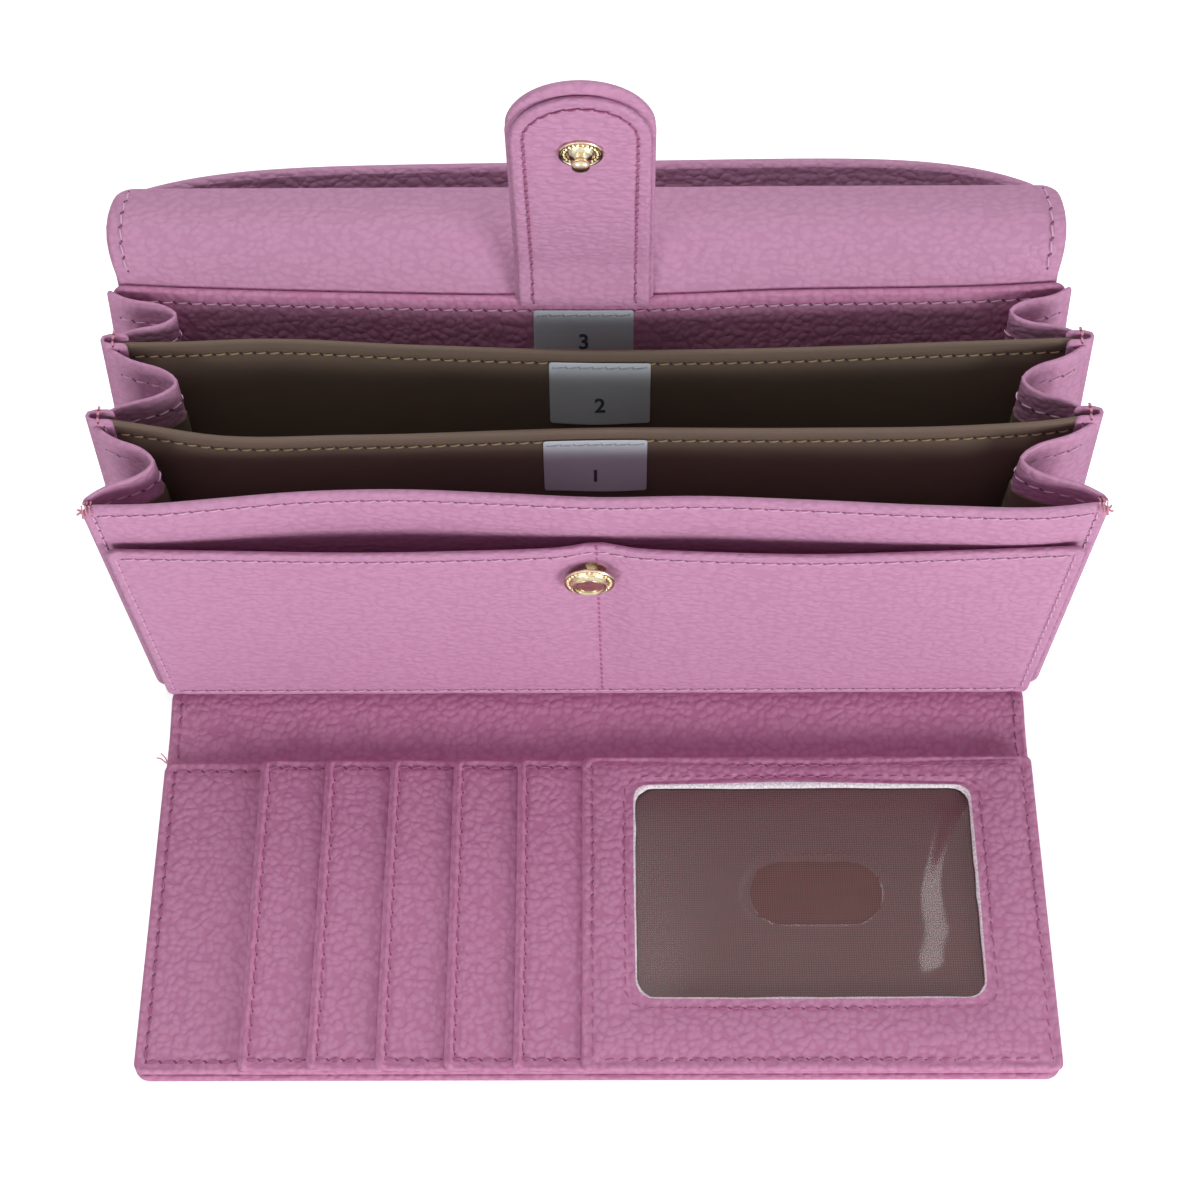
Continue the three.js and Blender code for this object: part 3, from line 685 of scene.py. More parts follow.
def make_card_panel():
    piece = Piece("card_panel_leather", FLAP_LEATHER, ROSE_THREAD, HOLE, SALMON_THREAD)
    middle = CARD_LOW[2] + PANEL_THICKNESS / 2

    def surface(x, y):
        left = 1 - smoothstep((x - SLOT_BOXES[0][0][0] + 4) / 8)
        return np.stack([x, y + 0 * x, middle - 0.3 * (1 - left) + 0 * x], axis=-1)

    sheet(piece, surface, (CARD_LOW[0], CARD_HIGH[0]), (CARD_LOW[1], CARD_HIGH[1]),
          PANEL_THICKNESS, corner=1.6, seam=SEAM_INSET)
    left = CARD_LOW[0] + SEAM_INSET
    line = straight(left, CARD_LOW[1] + SEAM_INSET, left, CARD_HIGH[1] - SEAM_INSET)
    stitches(piece, on_sheet(surface, line, PANEL_THICKNESS / 2 - 0.15), 1, 2)
    for b in (CARD_LOW[1] + SEAM_INSET, CARD_HIGH[1] - SEAM_INSET):
        line = straight(left, b, SLOT_BOXES[0][0][0] - 0.6, b)
        stitches(piece, on_sheet(surface, line, PANEL_THICKNESS / 2 - 0.15), 1, 2)
    corner = (CARD_LOW[0] + 0.5, CARD_HIGH[1] - 0.5, CARD_LOW[2] + PANEL_THICKNESS)
    loose_ends(piece, corner, [(-2.2, 1.2, 0.6), (-1.0, 2.4, 0.2)], 3)
    return piece.build("flap", ["card_panel"])


def make_card_slot(number):
    """One slot: its left edge is turned over and sewn, and its right edge lies under the next."""
    low, high = SLOT_BOXES[number - 1]
    piece = Piece(f"card_slot_leather_{number}", FLAP_LEATHER, ROSE_THREAD, HOLE)
    drop = high[2] - low[2] - SLOT_THICKNESS
    bottom = low[2] + SLOT_THICKNESS / 2

    def surface(x, y):
        across = (x - low[0]) / (high[0] - low[0])
        puff = 0.16 * soft_waves(x, y, 17, 20 + number) * smoothstep(across * 2)
        sag = 0.5 * np.sin(np.pi * np.clip((y - low[1]) / (high[1] - low[1]), 0, 1)) ** 2
        skew = 0.25 * soft_waves(y, 0 * y, 60, 40 + number)
        return np.stack([x + skew, y + 0 * x, bottom + drop * (1 - across) + 0.12 * sag * puff], axis=-1)

    def rolled(x, y):
        """The turned-over edge stands a little higher, up to its seam."""
        return 0.85 * (1 - smoothstep((x - low[0] - 1.0) / 1.3))

    sheet(piece, surface, (low[0], high[0]), (low[1] - 0.4, high[1] + 0.5), SLOT_THICKNESS + 0.25,
          corner=0.8, seam=SEAM_INSET - 0.4, step=3.0, relief=rolled)
    top = (SLOT_THICKNESS + 0.25) / 2 - 0.12
    fold = low[0] + 2.0
    line = straight(fold, low[1] + 2.8, fold, high[1] - 1.6)
    stitches(piece, on_sheet(surface, line, top), 1, 2)
    for b in (low[1] + 1.9, high[1] - 1.5):
        line = straight(low[0] + 1.2, b, high[0] - 2.6, b)
        stitches(piece, on_sheet(surface, line, top), 1, 2)
    return piece.build("flap", [f"card_slot_{number}"])


def rounded_loop(x0, x1, y0, y1, radius, side_count=14, corner_count=6):
    """Points round a rectangle with round corners, as many on every such loop."""
    corners = [(x1 - radius, y0 + radius, -90), (x1 - radius, y1 - radius, 0),
               (x0 + radius, y1 - radius, 90), (x0 + radius, y0 + radius, 180)]
    arcs = []
    for cx, cy, start in corners:
        angles = np.radians(np.linspace(start, start + 90, corner_count))
        arcs.append(np.stack([cx + radius * np.cos(angles), cy + radius * np.sin(angles)], axis=1))
    loop = []
    for k, arc in enumerate(arcs):
        following = arcs[(k + 1) % 4][0]
        side = np.linspace(arc[-1], following, side_count + 2)[1:-1]
        loop.extend([arc, side])
    return np.concatenate(loop)


def ring_faces(rings, count, start=0, flip=False):
    faces = []
    for k in range(rings - 1):
        for i in range(count):
            j = (i + 1) % count
            quad = tuple(start + v for v in (k * count + i, k * count + j, (k + 1) * count + j, (k + 1) * count + i))
            faces.append(quad[::-1] if flip else quad)
    return faces


def make_id_frame():
    """The leather frame over the ID window: turned outside, cut raw round the window."""
    piece = Piece("id_frame_leather", FLAP_LEATHER, ROSE_THREAD, HOLE, RAW_EDGE)
    film_low, film_high = node_box("id_window_film")
    window = (8.25, 80.55, -81.7, -35.0)
    outer = rounded_loop(ID_LOW[0], ID_HIGH[0], ID_LOW[1], ID_HIGH[1] + 0.3, 1.5)
    inner = rounded_loop(*window, 4.0)
    gap = np.linalg.norm(inner - outer, axis=1)
    low, high = ID_LOW[2] - 0.5, ID_HIGH[2]
    roll = (high - low) / 2
    rings = []
    for turn in np.radians((-90, -50, -10, 30, 60)):
        inset = roll * (1 - math.cos(turn))
        rings.append((inset, (high + low) / 2 + roll * math.sin(turn)))
    rings += [(d, high + g) for d, g in
              [(roll, 0), (1.4, 0), (1.9, -0.15), (2.3, -0.2), (2.8, -0.12), (3.3, 0)]]
    flat = [place_between(outer, inner, gap, d, z) for d, z in rings]
    torn = 0.5 + 0.6 * smoothstep((inner[:, 1] - window[3] + 4.5) / 4)
    for d, z in [(3.3, high), (2.9, high - 0.12), (2.5, high - 0.2), (2.1, high - 0.12),
                 (torn + 0.5, high + 0.05), (torn, high + 0.02)]:
        flat.append(place_between(inner, outer, gap, d, z))
    count = len(outer)
    piece.add(np.array(flat), ring_faces(len(flat), count), 0)
    ragged = 0.3 * soft_waves(inner[:, 0] * 3, inner[:, 1] * 3, 3.1, 77)[:, None]
    toward = (outer - inner) / gap[:, None]
    lip = [place_between(inner, outer, gap, torn, high + 0.02)]
    for d, z in [(0.5 * torn, high - 0.03), (0.0, high - 0.35), (0.0, film_high[2] + 0.02)]:
        ring = place_between(inner, outer, gap, d, z)
        ring[:, :2] += toward * ragged
        lip.append(ring)
    piece.add(np.array(lip), ring_faces(len(lip), count), 3)
    under = [place_between(inner, outer, gap, 0.0, film_high[2] + 0.02), place_between(outer, inner, gap, roll, low)]
    piece.add(np.array(under), ring_faces(2, count), 0)
    frame_stitches(piece, window, high)
    return piece.build("flap", ["id_window_frame"])


def place_between(start, end, gap, distance, z):
    """A loop moved from one outline towards another by a distance, at a height."""
    flat = start + (end - start) * np.minimum(distance / gap, 0.98)[:, None]
    return np.concatenate([flat, np.full((len(flat), 1), z)], axis=1)


def frame_stitches(piece, window, high):
    """Thread round the frame's outer edges and round the window."""
    def level(x, y):
        return np.stack([x, y, high - 0.18 + 0 * x], axis=-1)

    inset = 2.3
    x0, x1, y0, y1 = ID_LOW[0] + inset, ID_HIGH[0] - inset, ID_LOW[1] + inset, ID_HIGH[1] + 0.3 - inset
    for line in (straight(x0, y0, x0, y1), straight(x1, y0, x1, y1),
                 straight(x0 + 2, y0, x1 - 2, y0), straight(x0 + 2, y1, x1 - 2, y1)):
        stitches(piece, on_sheet(level, line, 0.0), 1, 2)
    offset = 2.4
    loop = rounded_loop(window[0] - offset, window[1] + offset, window[2] - offset, window[3] + offset, 4.5)
    loop = np.concatenate([loop, loop[:1]])
    stitches(piece, on_sheet(level, loop, 0.0), 1, 2)


THUMB_HOLE = (46.5, -58.8, 14.0, 7.0)


def thumb_distance(x, y):
    """How far a place is outside the thumb hole's edge, with the way straight out of it."""
    centre_x, centre_y, half_width, radius = THUMB_HOLE
    off_x, off_y = x - centre_x, y - centre_y
    past_x = np.sign(off_x) * np.maximum(np.abs(off_x) - (half_width - radius), 0)
    reach = np.maximum(np.hypot(past_x, off_y), 1e-6)
    return reach - radius, past_x / reach, off_y / reach


# Where the film's long fold runs: (y, x) down the window
FILM_FOLD = [(-81, 70.2), (-76, 69.8), (-72, 70.0), (-68, 71.4), (-63, 71.0), (-58, 70.9),
             (-53, 72.0), (-47, 73.8), (-41, 75.8), (-37, 76.8)]


def film_height(x, y):
    """The film's buckle: nearly flat, with one long fold near its right side and a ring that
    stands up round the thumb hole."""
    middle = through(FILM_FOLD, y)
    width = 3.0 + 0.7 * np.sin((y + 79) / 6.0)
    ends = smoothstep((y + 80) / 5) * smoothstep((-36.5 - y) / 5)
    rise = smoothstep((x - middle + width) / (2 * width))
    fall = 1 - smoothstep((x - middle - width) / (83.0 - middle - width))
    fold = 1.0 * rise * fall * ends
    gentle = 0.1 * soft_waves(x, y, 30, 8)
    distance, _, _ = thumb_distance(x, y)
    ring = 0.16 * np.exp(-(((distance - 0.9) / 0.4) ** 2))
    return fold + gentle + ring


def make_id_film():
    """The clear film, cut on a fine grid so that the thumb hole's edge runs through its corners."""
    low, high = node_box("id_window_film")
    piece = Piece("id_film", FILM)
    spacing = 0.9
    columns = int((high[0] - low[0]) / spacing) + 1
    rows = int((high[1] - low[1]) / spacing) + 1
    x, y = np.meshgrid(np.linspace(low[0], high[0], columns), np.linspace(low[1], high[1], rows), indexing="ij")
    distance, out_x, out_y = thumb_distance(x, y)
    near = np.abs(distance) < 0.62 * spacing
    x = np.where(near, x - out_x * distance, x)
    y = np.where(near, y - out_y * distance, y)
    z = low[2] + 0.15 + film_height(x, y)
    inside = (distance < 0) & ~near
    flat_inside = inside.ravel()
    faces = [f for f in grid_faces(columns, rows) if not any(flat_inside[v] for v in f)]
    faces = [f for f in faces if not all(near.ravel()[v] for v in f) or face_is_out(f, x, y)]
    piece.add(np.stack([x, y, z], axis=-1), faces, 0)
    return piece.build("flap", ["id_window_film"])


def face_is_out(face, x, y):
    """Whether a small face between snapped points lies outside the thumb hole."""
    middle_x, middle_y = x.ravel()[list(face)].mean(), y.ravel()[list(face)].mean()
    return thumb_distance(middle_x, middle_y)[0] > 0


def make_id_lining():
    low, high = node_box("id_window_lining")
    piece = Piece("id_lining", woven_nylon("taupe_nylon_window", "#5A3F3C", "#805A56", thread=0.8, weft_way="Y"))

    def surface(x, y):
        return np.stack([x, y, (low[2] + high[2]) / 2 + 0.06 * soft_waves(x, y, 21, 3)], axis=-1)

    sheet(piece, surface, (low[0], high[0]), (low[1], high[1]), LINING_THICKNESS, corner=0.5, step=5.0)
    lining = piece.build("flap", ["id_window_lining"])
    return lining


def make_front_wall():
    piece = Piece("front_wall_leather", LEATHER, THREAD, HOLE, SALMON_THREAD)
    wall = FRONT_WALL
    span_a, span_b = (wall.left, wall.right), (wall.low_z, wall.high_z)
    sheet(piece, wall.surface, span_a, span_b, wall.thickness + 0.3, corner=2.0, seam=SEAM_INSET, step=3.5)
    lift = wall.thickness / 2
    top = wall.high_z - SEAM_INSET
    for face in (1, -1):
        line = straight(wall.left + 3, top, wall.right - 3, top)
        stitches(piece, on_sheet(wall.surface, line, lift, face), 1, 2)
    for side in (-1, 1):
        a = wall.end(side) - side * 2.2
        stitches(piece, on_sheet(wall.surface, straight(a, wall.low_z + 2, a, wall.high_z - 2), lift), 1, 2)
        corner_knot(piece, (wall.end(side) - side * 1.6, wall.head_y, wall.high_z - 0.9), side, 3)
    return piece.build("base", ["front_wall"])


POCKET_SAG = [(-94, 0), (-70, 0.5), (-45, 0.9), (-20, 0.5), (0, 0), (20, 0.9), (42, 1.5), (68, 0.9), (94, 0)]


# The pocket's sides reach this much past its solid, nearly to the wall's own edges
POCKET_OVERHANG = np.array([2.0, 0, 0])


def front_pocket_surface(x, z):
    """The pocket sheet, closed along its middle seam; each half of its mouth bows forward."""
    low, high = node_box("front_pocket")
    middle = (low[1] + high[1]) / 2
    rise = smoothstep((z - low[2]) / (high[2] - low[2])) ** 2.2
    seam_pull = 1.2 * np.exp(-((x - 0.5) / 5.0) ** 2) * smoothstep((z - low[2]) / 30)
    y = middle - through(POCKET_SAG, x) * rise + seam_pull
    drop = 0.2 * through(POCKET_SAG, x) * rise
    return np.stack([x, y, z - drop], axis=-1)


def make_front_pocket():
    low, high = node_box("front_pocket")
    low, high = low - POCKET_OVERHANG, high + POCKET_OVERHANG
    piece = Piece("front_pocket_leather", LEATHER, THREAD, HOLE, ROSE_THREAD)
    sheet(piece, front_pocket_surface, (low[0], high[0]), (low[2], high[2]), POCKET_THICKNESS + 0.2,
          corner=1.2, seam=SEAM_INSET, step=3.0)
    lift = POCKET_THICKNESS / 2 - 0.05
    top, foot = high[2] - SEAM_INSET, low[2] + 2.2
    stitches(piece, on_sheet(front_pocket_surface, straight(low[0] + 3, top, high[0] - 3, top), lift), 1, 2)
    stitches(piece, on_sheet(front_pocket_surface, straight(low[0] + 3, foot, high[0] - 3, foot), lift), 1, 2)
    for a in (low[0] + 1.8, high[0] - 1.8):
        stitches(piece, on_sheet(front_pocket_surface, straight(a, low[2] + 3, a, high[2] - 2), lift), 1, 2)
    seam = straight(0.3, high[2] + 0.5, 1.2, low[2] + 3)
    stitches(piece, on_sheet(front_pocket_surface, seam, lift + 0.1), 3, 2, pitch=FINE_STITCH_PITCH, radius=0.24)
    return piece.build("base", ["front_pocket"])


def make_divider(number, wall, body, node):
    """A nylon divider with its top edge turned and sewn."""
    piece = Piece(f"divider_{number}_nylon", NYLON, TAUPE_THREAD, NYLON_HOLE)
    left, right = wall.left + 1.0, wall.right - 1.0

    def slack(x, z):
        """Soft upright waves in the nylon below its hem."""
        below_hem = smoothstep((wall.high_z - 3.5 - z) / 6)
        return 0.3 * soft_waves(x, 0.25 * z, 24, 50 + number) * below_hem

    sheet(piece, wall.surface, (left, right), (wall.low_z, wall.high_z), wall.thickness,
          corner=2.0, seam=2.9, step=3.5, relief=slack)
    lift = wall.thickness / 2 - 0.1
    for face in (1, -1):
        line = straight(left + 4, wall.high_z - 2.9, right - 4, wall.high_z - 2.9)
        stitches(piece, on_sheet(wall.surface, line, lift, face), 1, 2, pitch=2.7)
    divider = piece.build(None if body == "divider_1" else body, [node])
    if body == "divider_1":
        let_bow_give(divider)
    return divider


def let_bow_give(obj):
    """Bakes an object's transform into its mesh, for the pieces of the first divider; its bow is left as it is, and
    level and middle are worked out but not used.
    """
    wall = FRONT_DIVIDER
    level = wall.low_z + 0.6 * (wall.high_z - wall.low_z)
    middle = Vector((0, wall.y(level), level))
    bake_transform(obj)


def make_wall_lining(name, wall, side, node, body):
    """The nylon behind the leather on a wall's compartment side."""
    piece = Piece(name, NYLON)
    low, high = node_box(node)

    def surface(x, z):
        shift = np.array([0, side * (wall.thickness / 2 + 0.45), 0])
        return wall.surface(x, z) + shift

    half_width = 81.0
    sheet(piece, surface, (-half_width, half_width), (low[2], high[2]), LINING_THICKNESS, corner=0.5, step=6.0)
    lining = piece.build(body, [node])
    return lining


def make_rear_wall():
    piece = Piece("rear_wall_leather", FLAP_LEATHER, THREAD, HOLE)
    wall = REAR_WALL
    sheet(piece, wall.surface, (wall.left + 1, wall.right - 1), (wall.low_z, wall.high_z),
          wall.thickness + 0.2, corner=2.0, seam=SEAM_INSET + 0.4, step=3.5)
    top = wall.high_z - SEAM_INSET - 0.4
    line = straight(wall.left + 8, top, wall.right - 8, top)
    stitches(piece, on_sheet(wall.surface, line, wall.thickness / 2, 1), 1, 2)
    return piece.build("back", ["rear_wall"])


# How far each pleat is folded in, as a share of what its leather allows
FOLD_SHARE = {(-1, 0): 0.86, (-1, 1): 1.0, (-1, 2): 0.86, (1, 0): 1.06, (1, 1): 0.9, (1, 2): 0.86}


def gusset_surface(index, side):
    """The folded strip between two walls: a is across it from -1 to 1, b is height."""
    near, far = WALL_ORDER[index], WALL_ORDER[index + 1]
    leg = 17.0
    share = FOLD_SHARE[side, index]

    def surface(a, z):
        front = near.y(z) + near.thickness / 2 + 0.4
        rear = far.y(z) - far.thickness / 2 - 0.4
        half = (rear - front) / 2
        reach = share * np.sqrt(np.maximum(leg**2 - half**2, 1.0))
        along = (np.clip(a, -1, 1) + 1) / 2
        outer_x = abs(near.end(side)) * (1 - along) + abs(far.end(side)) * along - 0.4
        bend = np.sqrt(a * a + 0.012) - math.sqrt(0.012)
        bend = bend / (math.sqrt(1.012) - math.sqrt(0.012))
        swell = 1.3 * np.sin(2 * np.pi * np.clip(a, -1, 1)) * np.clip((z - near.low_z) / 78, 0, 1)
        x = outer_x - reach * (1 - bend)
        y = (front + rear) / 2 + half * a + swell * 0.5
        return np.stack([side * x, y, z + 0 * a], axis=-1)

    return surface, leg


def make_gusset(index, side):
    place = ("front", "middle", "rear")[index]
    hand = "left" if side < 0 else "right"
    surface, leg = gusset_surface(index, side)
    near, far = WALL_ORDER[index], WALL_ORDER[index + 1]
    top = min(near.high_z, far.high_z) + 0.2
    piece = Piece(f"gusset_{hand}_{place}_leather", LEATHER, THREAD, HOLE, NYLON)
    foot = near.low_z
    lined_from = top - 8.5

    def scaled_surface(a, z):
        return surface(a / leg, z)

    face = side
    sheet(piece, scaled_surface, (-leg, leg), (foot, top), GUSSET_THICKNESS, face=face, corner=0.6,
          seam=None, step=1.6)
    line = straight(-leg + 2.5, top - 4.6, leg - 2.5, top - 4.6)
    for good_side in (1, -1):
        stitches(piece, on_sheet(scaled_surface, line, GUSSET_THICKNESS / 2 - 0.05, good_side), 1, 2)
    lining_inside(piece, scaled_surface, leg, foot, lined_from, -side)
    gusset = piece.build()
    blend_gusset(gusset, index)
    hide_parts(f"gusset_{hand}_{place}")
    return gusset


def lining_inside(piece, surface, leg, foot, top, face):
    """The nylon glued to the compartment side of a gusset, below its turned top edge."""
    def inner(a, z):
        points, _, _, normal = frame_at(surface, a, z, face)
        return points + normal * (GUSSET_THICKNESS / 2 + 0.2)

    sheet(piece, inner, (-leg + 0.8, leg - 0.8), (foot, top), LINING_THICKNESS, face=face, corner=0.5,
          step=2.2, finish=3)


def blend_gusset(gusset, index):
    """Bakes a gusset's transform into its mesh; its bend from the wall before it to the wall behind it is made by its
    surface, and level, lean, start and reach are worked out but not used.
    """
    near, far = WALL_ORDER[index], WALL_ORDER[index + 1]
    level = near.low_z + 0.6 * (near.high_z - near.low_z)
    lean = math.atan2((near.head_y + far.head_y - near.foot_y - far.foot_y) / 2, near.high_z - near.low_z)
    start = Vector((0, near.y(level) + 1.0, level))
    reach = (far.y(level) - near.y(level) - 2.0) * math.cos(lean)
    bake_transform(gusset)


def make_edge_fold(number, wall, body, side):
    """The pleat fold pinched round a divider's side edge, sewn down with a bar of stitches on top."""
    hand = "left" if side < 0 else "right"
    piece = Piece(f"edge_fold_{hand}_{number}", LEATHER, THREAD, HOLE, SALMON_THREAD)
    grip = wall.thickness / 2 + GUSSET_THICKNESS / 2 + 0.1
    leg = 4.0
    bend = math.pi * grip / 2

    def surface(a, z):
        """a runs round the edge: a straight leg, a half circle, then the other leg."""
        past = np.abs(a) - bend
        angle = np.clip(a / grip, -math.pi / 2, math.pi / 2)
        x = abs(wall.end(side)) - 0.4 + grip * np.cos(angle) - np.maximum(past, 0)
        y = wall.y(z) + grip * np.sin(angle)
        return np.stack([side * x, y, z + 0 * a], axis=-1)

    top = wall.high_z + 1.0
    sheet(piece, surface, (-bend - leg, bend + leg), (wall.low_z, top), GUSSET_THICKNESS, face=side,
          corner=0.8, step=1.0)
    for a in (-bend - 2.4, bend + 2.4):
        line = straight(a, wall.low_z + 2, a, top - 1.5)
        stitches(piece, on_sheet(surface, line, GUSSET_THICKNESS / 2, side), 1, 2)
    over_top(piece, wall, side, top)
    return piece.build(body)


def over_top(piece, wall, side, top):
    """The bar of thread that goes over the top of the fold."""
    x = wall.end(side) - side * 1.6
    reach = wall.thickness / 2 + GUSSET_THICKNESS + 0.2
    points, normals = [], []
    for angle in np.linspace(0, math.pi, 14):
        y = wall.y(top) - reach * math.cos(angle)
        points.append((x, y, top - 0.4 + reach * 0.5 * math.sin(angle)))
        normals.append((0, -math.cos(angle), math.sin(angle)))
    stitches(piece, (np.array(points), np.array(normals)), 3, 2, pitch=1.5, radius=0.3)


# The back's two side edges, a little askew on the walls
BACK_LEFT, BACK_RIGHT = -97.4, 94.2


def band_line():
    """The back panel's middle line in y and z, rebuilt from its CAD box and the rear wall."""
    low, high = node_box("back_panel")
    wall = REAR_WALL
    offset = wall.thickness / 2 + 0.3 + 1.0
    crease = np.array([wall.head_y + offset, wall.high_z])
    mouth = np.array([high[1] - 0.3, crease[1] + 7.1])
    reach, rise = mouth[0] - crease[0], (high[2] - 1.0 - crease[1]) / 0.93
    foot = np.array([wall.foot_y + offset, wall.low_z])
    controls = [crease, crease + (0.2 * reach, rise), crease + (0.4 * reach, 1.05 * rise), mouth]
    t = np.linspace(0, 1, 25)[:, None]
    curve = ((1 - t)**3 * controls[0] + 3 * (1 - t)**2 * t * controls[1]
             + 3 * (1 - t) * t**2 * controls[2] + t**3 * controls[3])
    straight_part = foot + (crease - foot) * np.linspace(0, 1, 30)[:-1, None]
    return np.concatenate([straight_part, curve])


def strip_surface(line, shape=None):
    """A surface that follows a line in y and z; b is the length along the line."""
    lengths = np.concatenate([[0], np.cumsum(np.linalg.norm(np.diff(line, axis=0), axis=1))])

    def surface(x, b):
        inside = np.clip(b, 0, lengths[-1])
        y = np.interp(inside, lengths, line[:, 0])
        z = np.interp(inside, lengths, line[:, 1])
        way = line[-1] - line[-2]
        way = way / np.linalg.norm(way)
        y = y + (b - inside) * way[0]
        z = z + (b - inside) * way[1]
        points = np.stack([x, y, z], axis=-1)
        return points if shape is None else points + shape(x, b)

    return surface, lengths[-1]


def make_back_panel():
    low, high = node_box("back_panel")
    line = band_line()
    lengths = np.concatenate([[0], np.cumsum(np.linalg.norm(np.diff(line, axis=0), axis=1))])
    crease_at = lengths[29]

    def swell(x, b):
        band = smoothstep((b - crease_at) / 4) * (1 - smoothstep((b - lengths[-1] + 5) / 5))
        waves = 0.35 * soft_waves(x, b, 47, 12) * band
        dent = -0.9 * np.exp(-(((np.abs(x) - 17) / 6) ** 2)) * band
        zero = 0 * x + 0 * b
        bulge = 1.1 * np.sin(np.pi * np.clip((b - crease_at) / (lengths[-1] - crease_at), 0, 1))
        sideways = bulge * (x / 96) ** 7
        sewn = smoothstep(b / crease_at) ** 1.3 * (1 - smoothstep((b - crease_at) / 16))
        with_wall = through(REAR_WALL.bow, x) * sewn
        return np.stack([sideways, zero - 0.2 * dent + with_wall, waves + dent], axis=-1)

    surface, length = strip_surface(line, swell)
    piece = Piece("back_panel_leather", LEATHER, THREAD, HOLE)
    sheet(piece, surface, (BACK_LEFT, BACK_RIGHT), (0, length), 2.0, corner=2.5, seam=None, step=2.6)
    for a in (BACK_LEFT + 3.0, BACK_RIGHT - 3.0):
        stitches(piece, on_sheet(surface, straight(a, crease_at + 2, a, length - 1.5), 1.0), 1, 2)
    top = length - 2.6
    line = straight(BACK_LEFT + 3, top, BACK_RIGHT - 3, top)
    stitches(piece, on_sheet(surface, line, 1.0, -1), 1, 2)
    return piece.build("back", ["back_panel"])


def make_back_sheet():
    """The outer sheet of the back pocket; its mouth bows away from the panel in the middle."""
    low, high = node_box("back_pocket_sheet")
    panel_low, panel_high = node_box("back_panel")
    offset = REAR_WALL.thickness / 2 + 0.3 + 2.0 + 1.2 + 0.8
    bend_z = REAR_WALL.high_z - 8
    mouth = np.array([high[1] - 0.8, high[2] - 0.4])
    line = np.array([
        (REAR_WALL.foot_y + offset, low[2]), (REAR_WALL.y(40) + offset, 40),
        (REAR_WALL.y(bend_z) + offset, bend_z), (mouth[0] - 7.5, mouth[1] - 9), (mouth[0] - 3, mouth[1] - 4.5), mouth])
    smooth = chaikin(line, 3)

    def bow(x, b):
        rise = smoothstep((b - 45) / 50)
        across = (x - BACK_LEFT) / (BACK_RIGHT - BACK_LEFT)
        middle = 1 - np.abs(2 * across - 1) ** 6
        zero = 0 * x + 0 * b
        out = (7.0 + 1.4 * (2 * across - 1)) * middle - 2.0
        return np.stack([zero, out * rise, (2.0 * middle - 1.6) * rise], axis=-1)

    surface, length = strip_surface(smooth, bow)
    piece = Piece("back_pocket_leather", LEATHER, THREAD, HOLE)
    left, right = BACK_LEFT + 1.2, BACK_RIGHT - 1.2
    sheet(piece, surface, (left, right), (0, length), 2.8, face=-1, corner=2.0, seam=SEAM_INSET, step=3.0)
    top = length - SEAM_INSET
    stitches(piece, on_sheet(surface, straight(left + 3, top, right - 3, top), 1.3, -1), 1, 2)
    for a in (left + 2.4, right - 2.4):
        stitches(piece, on_sheet(surface, straight(a, 3, a, length - 3), 1.3, -1), 1, 2)
    return piece.build("back", ["back_pocket_sheet"])


def chaikin(line, rounds):
    """Rounds the corners of a line by cutting them."""
    for _ in range(rounds):
        near = 0.75 * line[:-1] + 0.25 * line[1:]
        far = 0.25 * line[:-1] + 0.75 * line[1:]
        middle = np.stack([near, far], axis=1).reshape(-1, 2)
        line = np.concatenate([line[:1], middle[1:-1], line[-1:]])
    return line


TAB_LEAN = math.radians(9)

# How far the tab's foot goes down past its hinge, and forward into the crease that it is sewn in
TAB_FOOT = 3.2
TAB_FOOT_FORWARD = 4.0


def tab_place(x, height, depth):
    """A point of the tab: x across, height up from its foot, depth behind its middle."""
    pivot = np.array(frame_joint("tab_fold")["pos_m"]) / MM
    forward = TAB_FOOT_FORWARD * (1 - smoothstep((height + TAB_FOOT) / 12))
    y = depth * math.cos(TAB_LEAN) - height * math.sin(TAB_LEAN) - forward
    z = height * math.cos(TAB_LEAN) + depth * math.sin(TAB_LEAN)
    return np.stack([pivot[0] - 0.9 + x, pivot[1] + y, pivot[2] + z], axis=-1)


def tab_layer(piece, width, length, depth, thickness, face, wrinkles, seam):
    """One layer of the tab: a strip with a round head, made of rings round its outline."""
    radius = width / 2
    lean_in = 0.6
    outline = []
    for z in np.linspace(-TAB_FOOT, length - radius, 70)[:-1]:
        outline.append((radius - lean_in * z / length, z))
    for angle in np.linspace(0, math.pi, 33):
        outline.append(((radius - lean_in) * math.cos(angle), length - radius + radius * math.sin(angle)))
    for z in np.linspace(length - radius, -TAB_FOOT, 70)[1:]:
        outline.append((-(radius - lean_in * z / length), z))
    outline = np.array(outline)
    spine = np.column_stack([np.zeros(len(outline)), np.clip(outline[:, 1], -TAB_FOOT, length - radius)])
    gap = np.linalg.norm(outline - spine, axis=1)
    half = thickness / 2
    rings = []
    for turn in np.linspace(180, 0, RIM_STEPS + 1):
        angle = math.radians(turn)
        rings.append((half * (1 - math.sin(angle)), half * math.cos(angle)))
    inward = [(d, half + float(groove(np.array(d), seam))) for d in (1.0, 1.5, 1.9, 2.3, 2.7, 3.2, 4, 6, 8.5, 11)]
    loops = []
    for inset, level in rings + inward + [(99, half)]:
        flat = outline + (spine - outline) * np.minimum(inset / gap, 1.0)[:, None]
        lift = level
        if inset > 1:
            lift = level + wrinkles(flat[:, 0], flat[:, 1])
        loops.append(tab_place(flat[:, 0], flat[:, 1], depth + face * lift))
    back = outline + (spine - outline) * np.minimum(half / gap, 1.0)[:, None]
    closed = [tab_place(spine[:, 0], spine[:, 1], depth - face * half + 0 * gap),
              tab_place(back[:, 0], back[:, 1], depth - face * half + 0 * gap)]
    count = len(outline)
    loops = np.array(closed + loops[1:])
    faces = []
    for k in range(len(loops) - 1):
        for i in range(count - 1):
            quad = (k * count + i, k * count + i + 1, (k + 1) * count + i + 1, (k + 1) * count + i)
            faces.append(quad if face > 0 else quad[::-1])
    piece.add(loops, faces, 0)


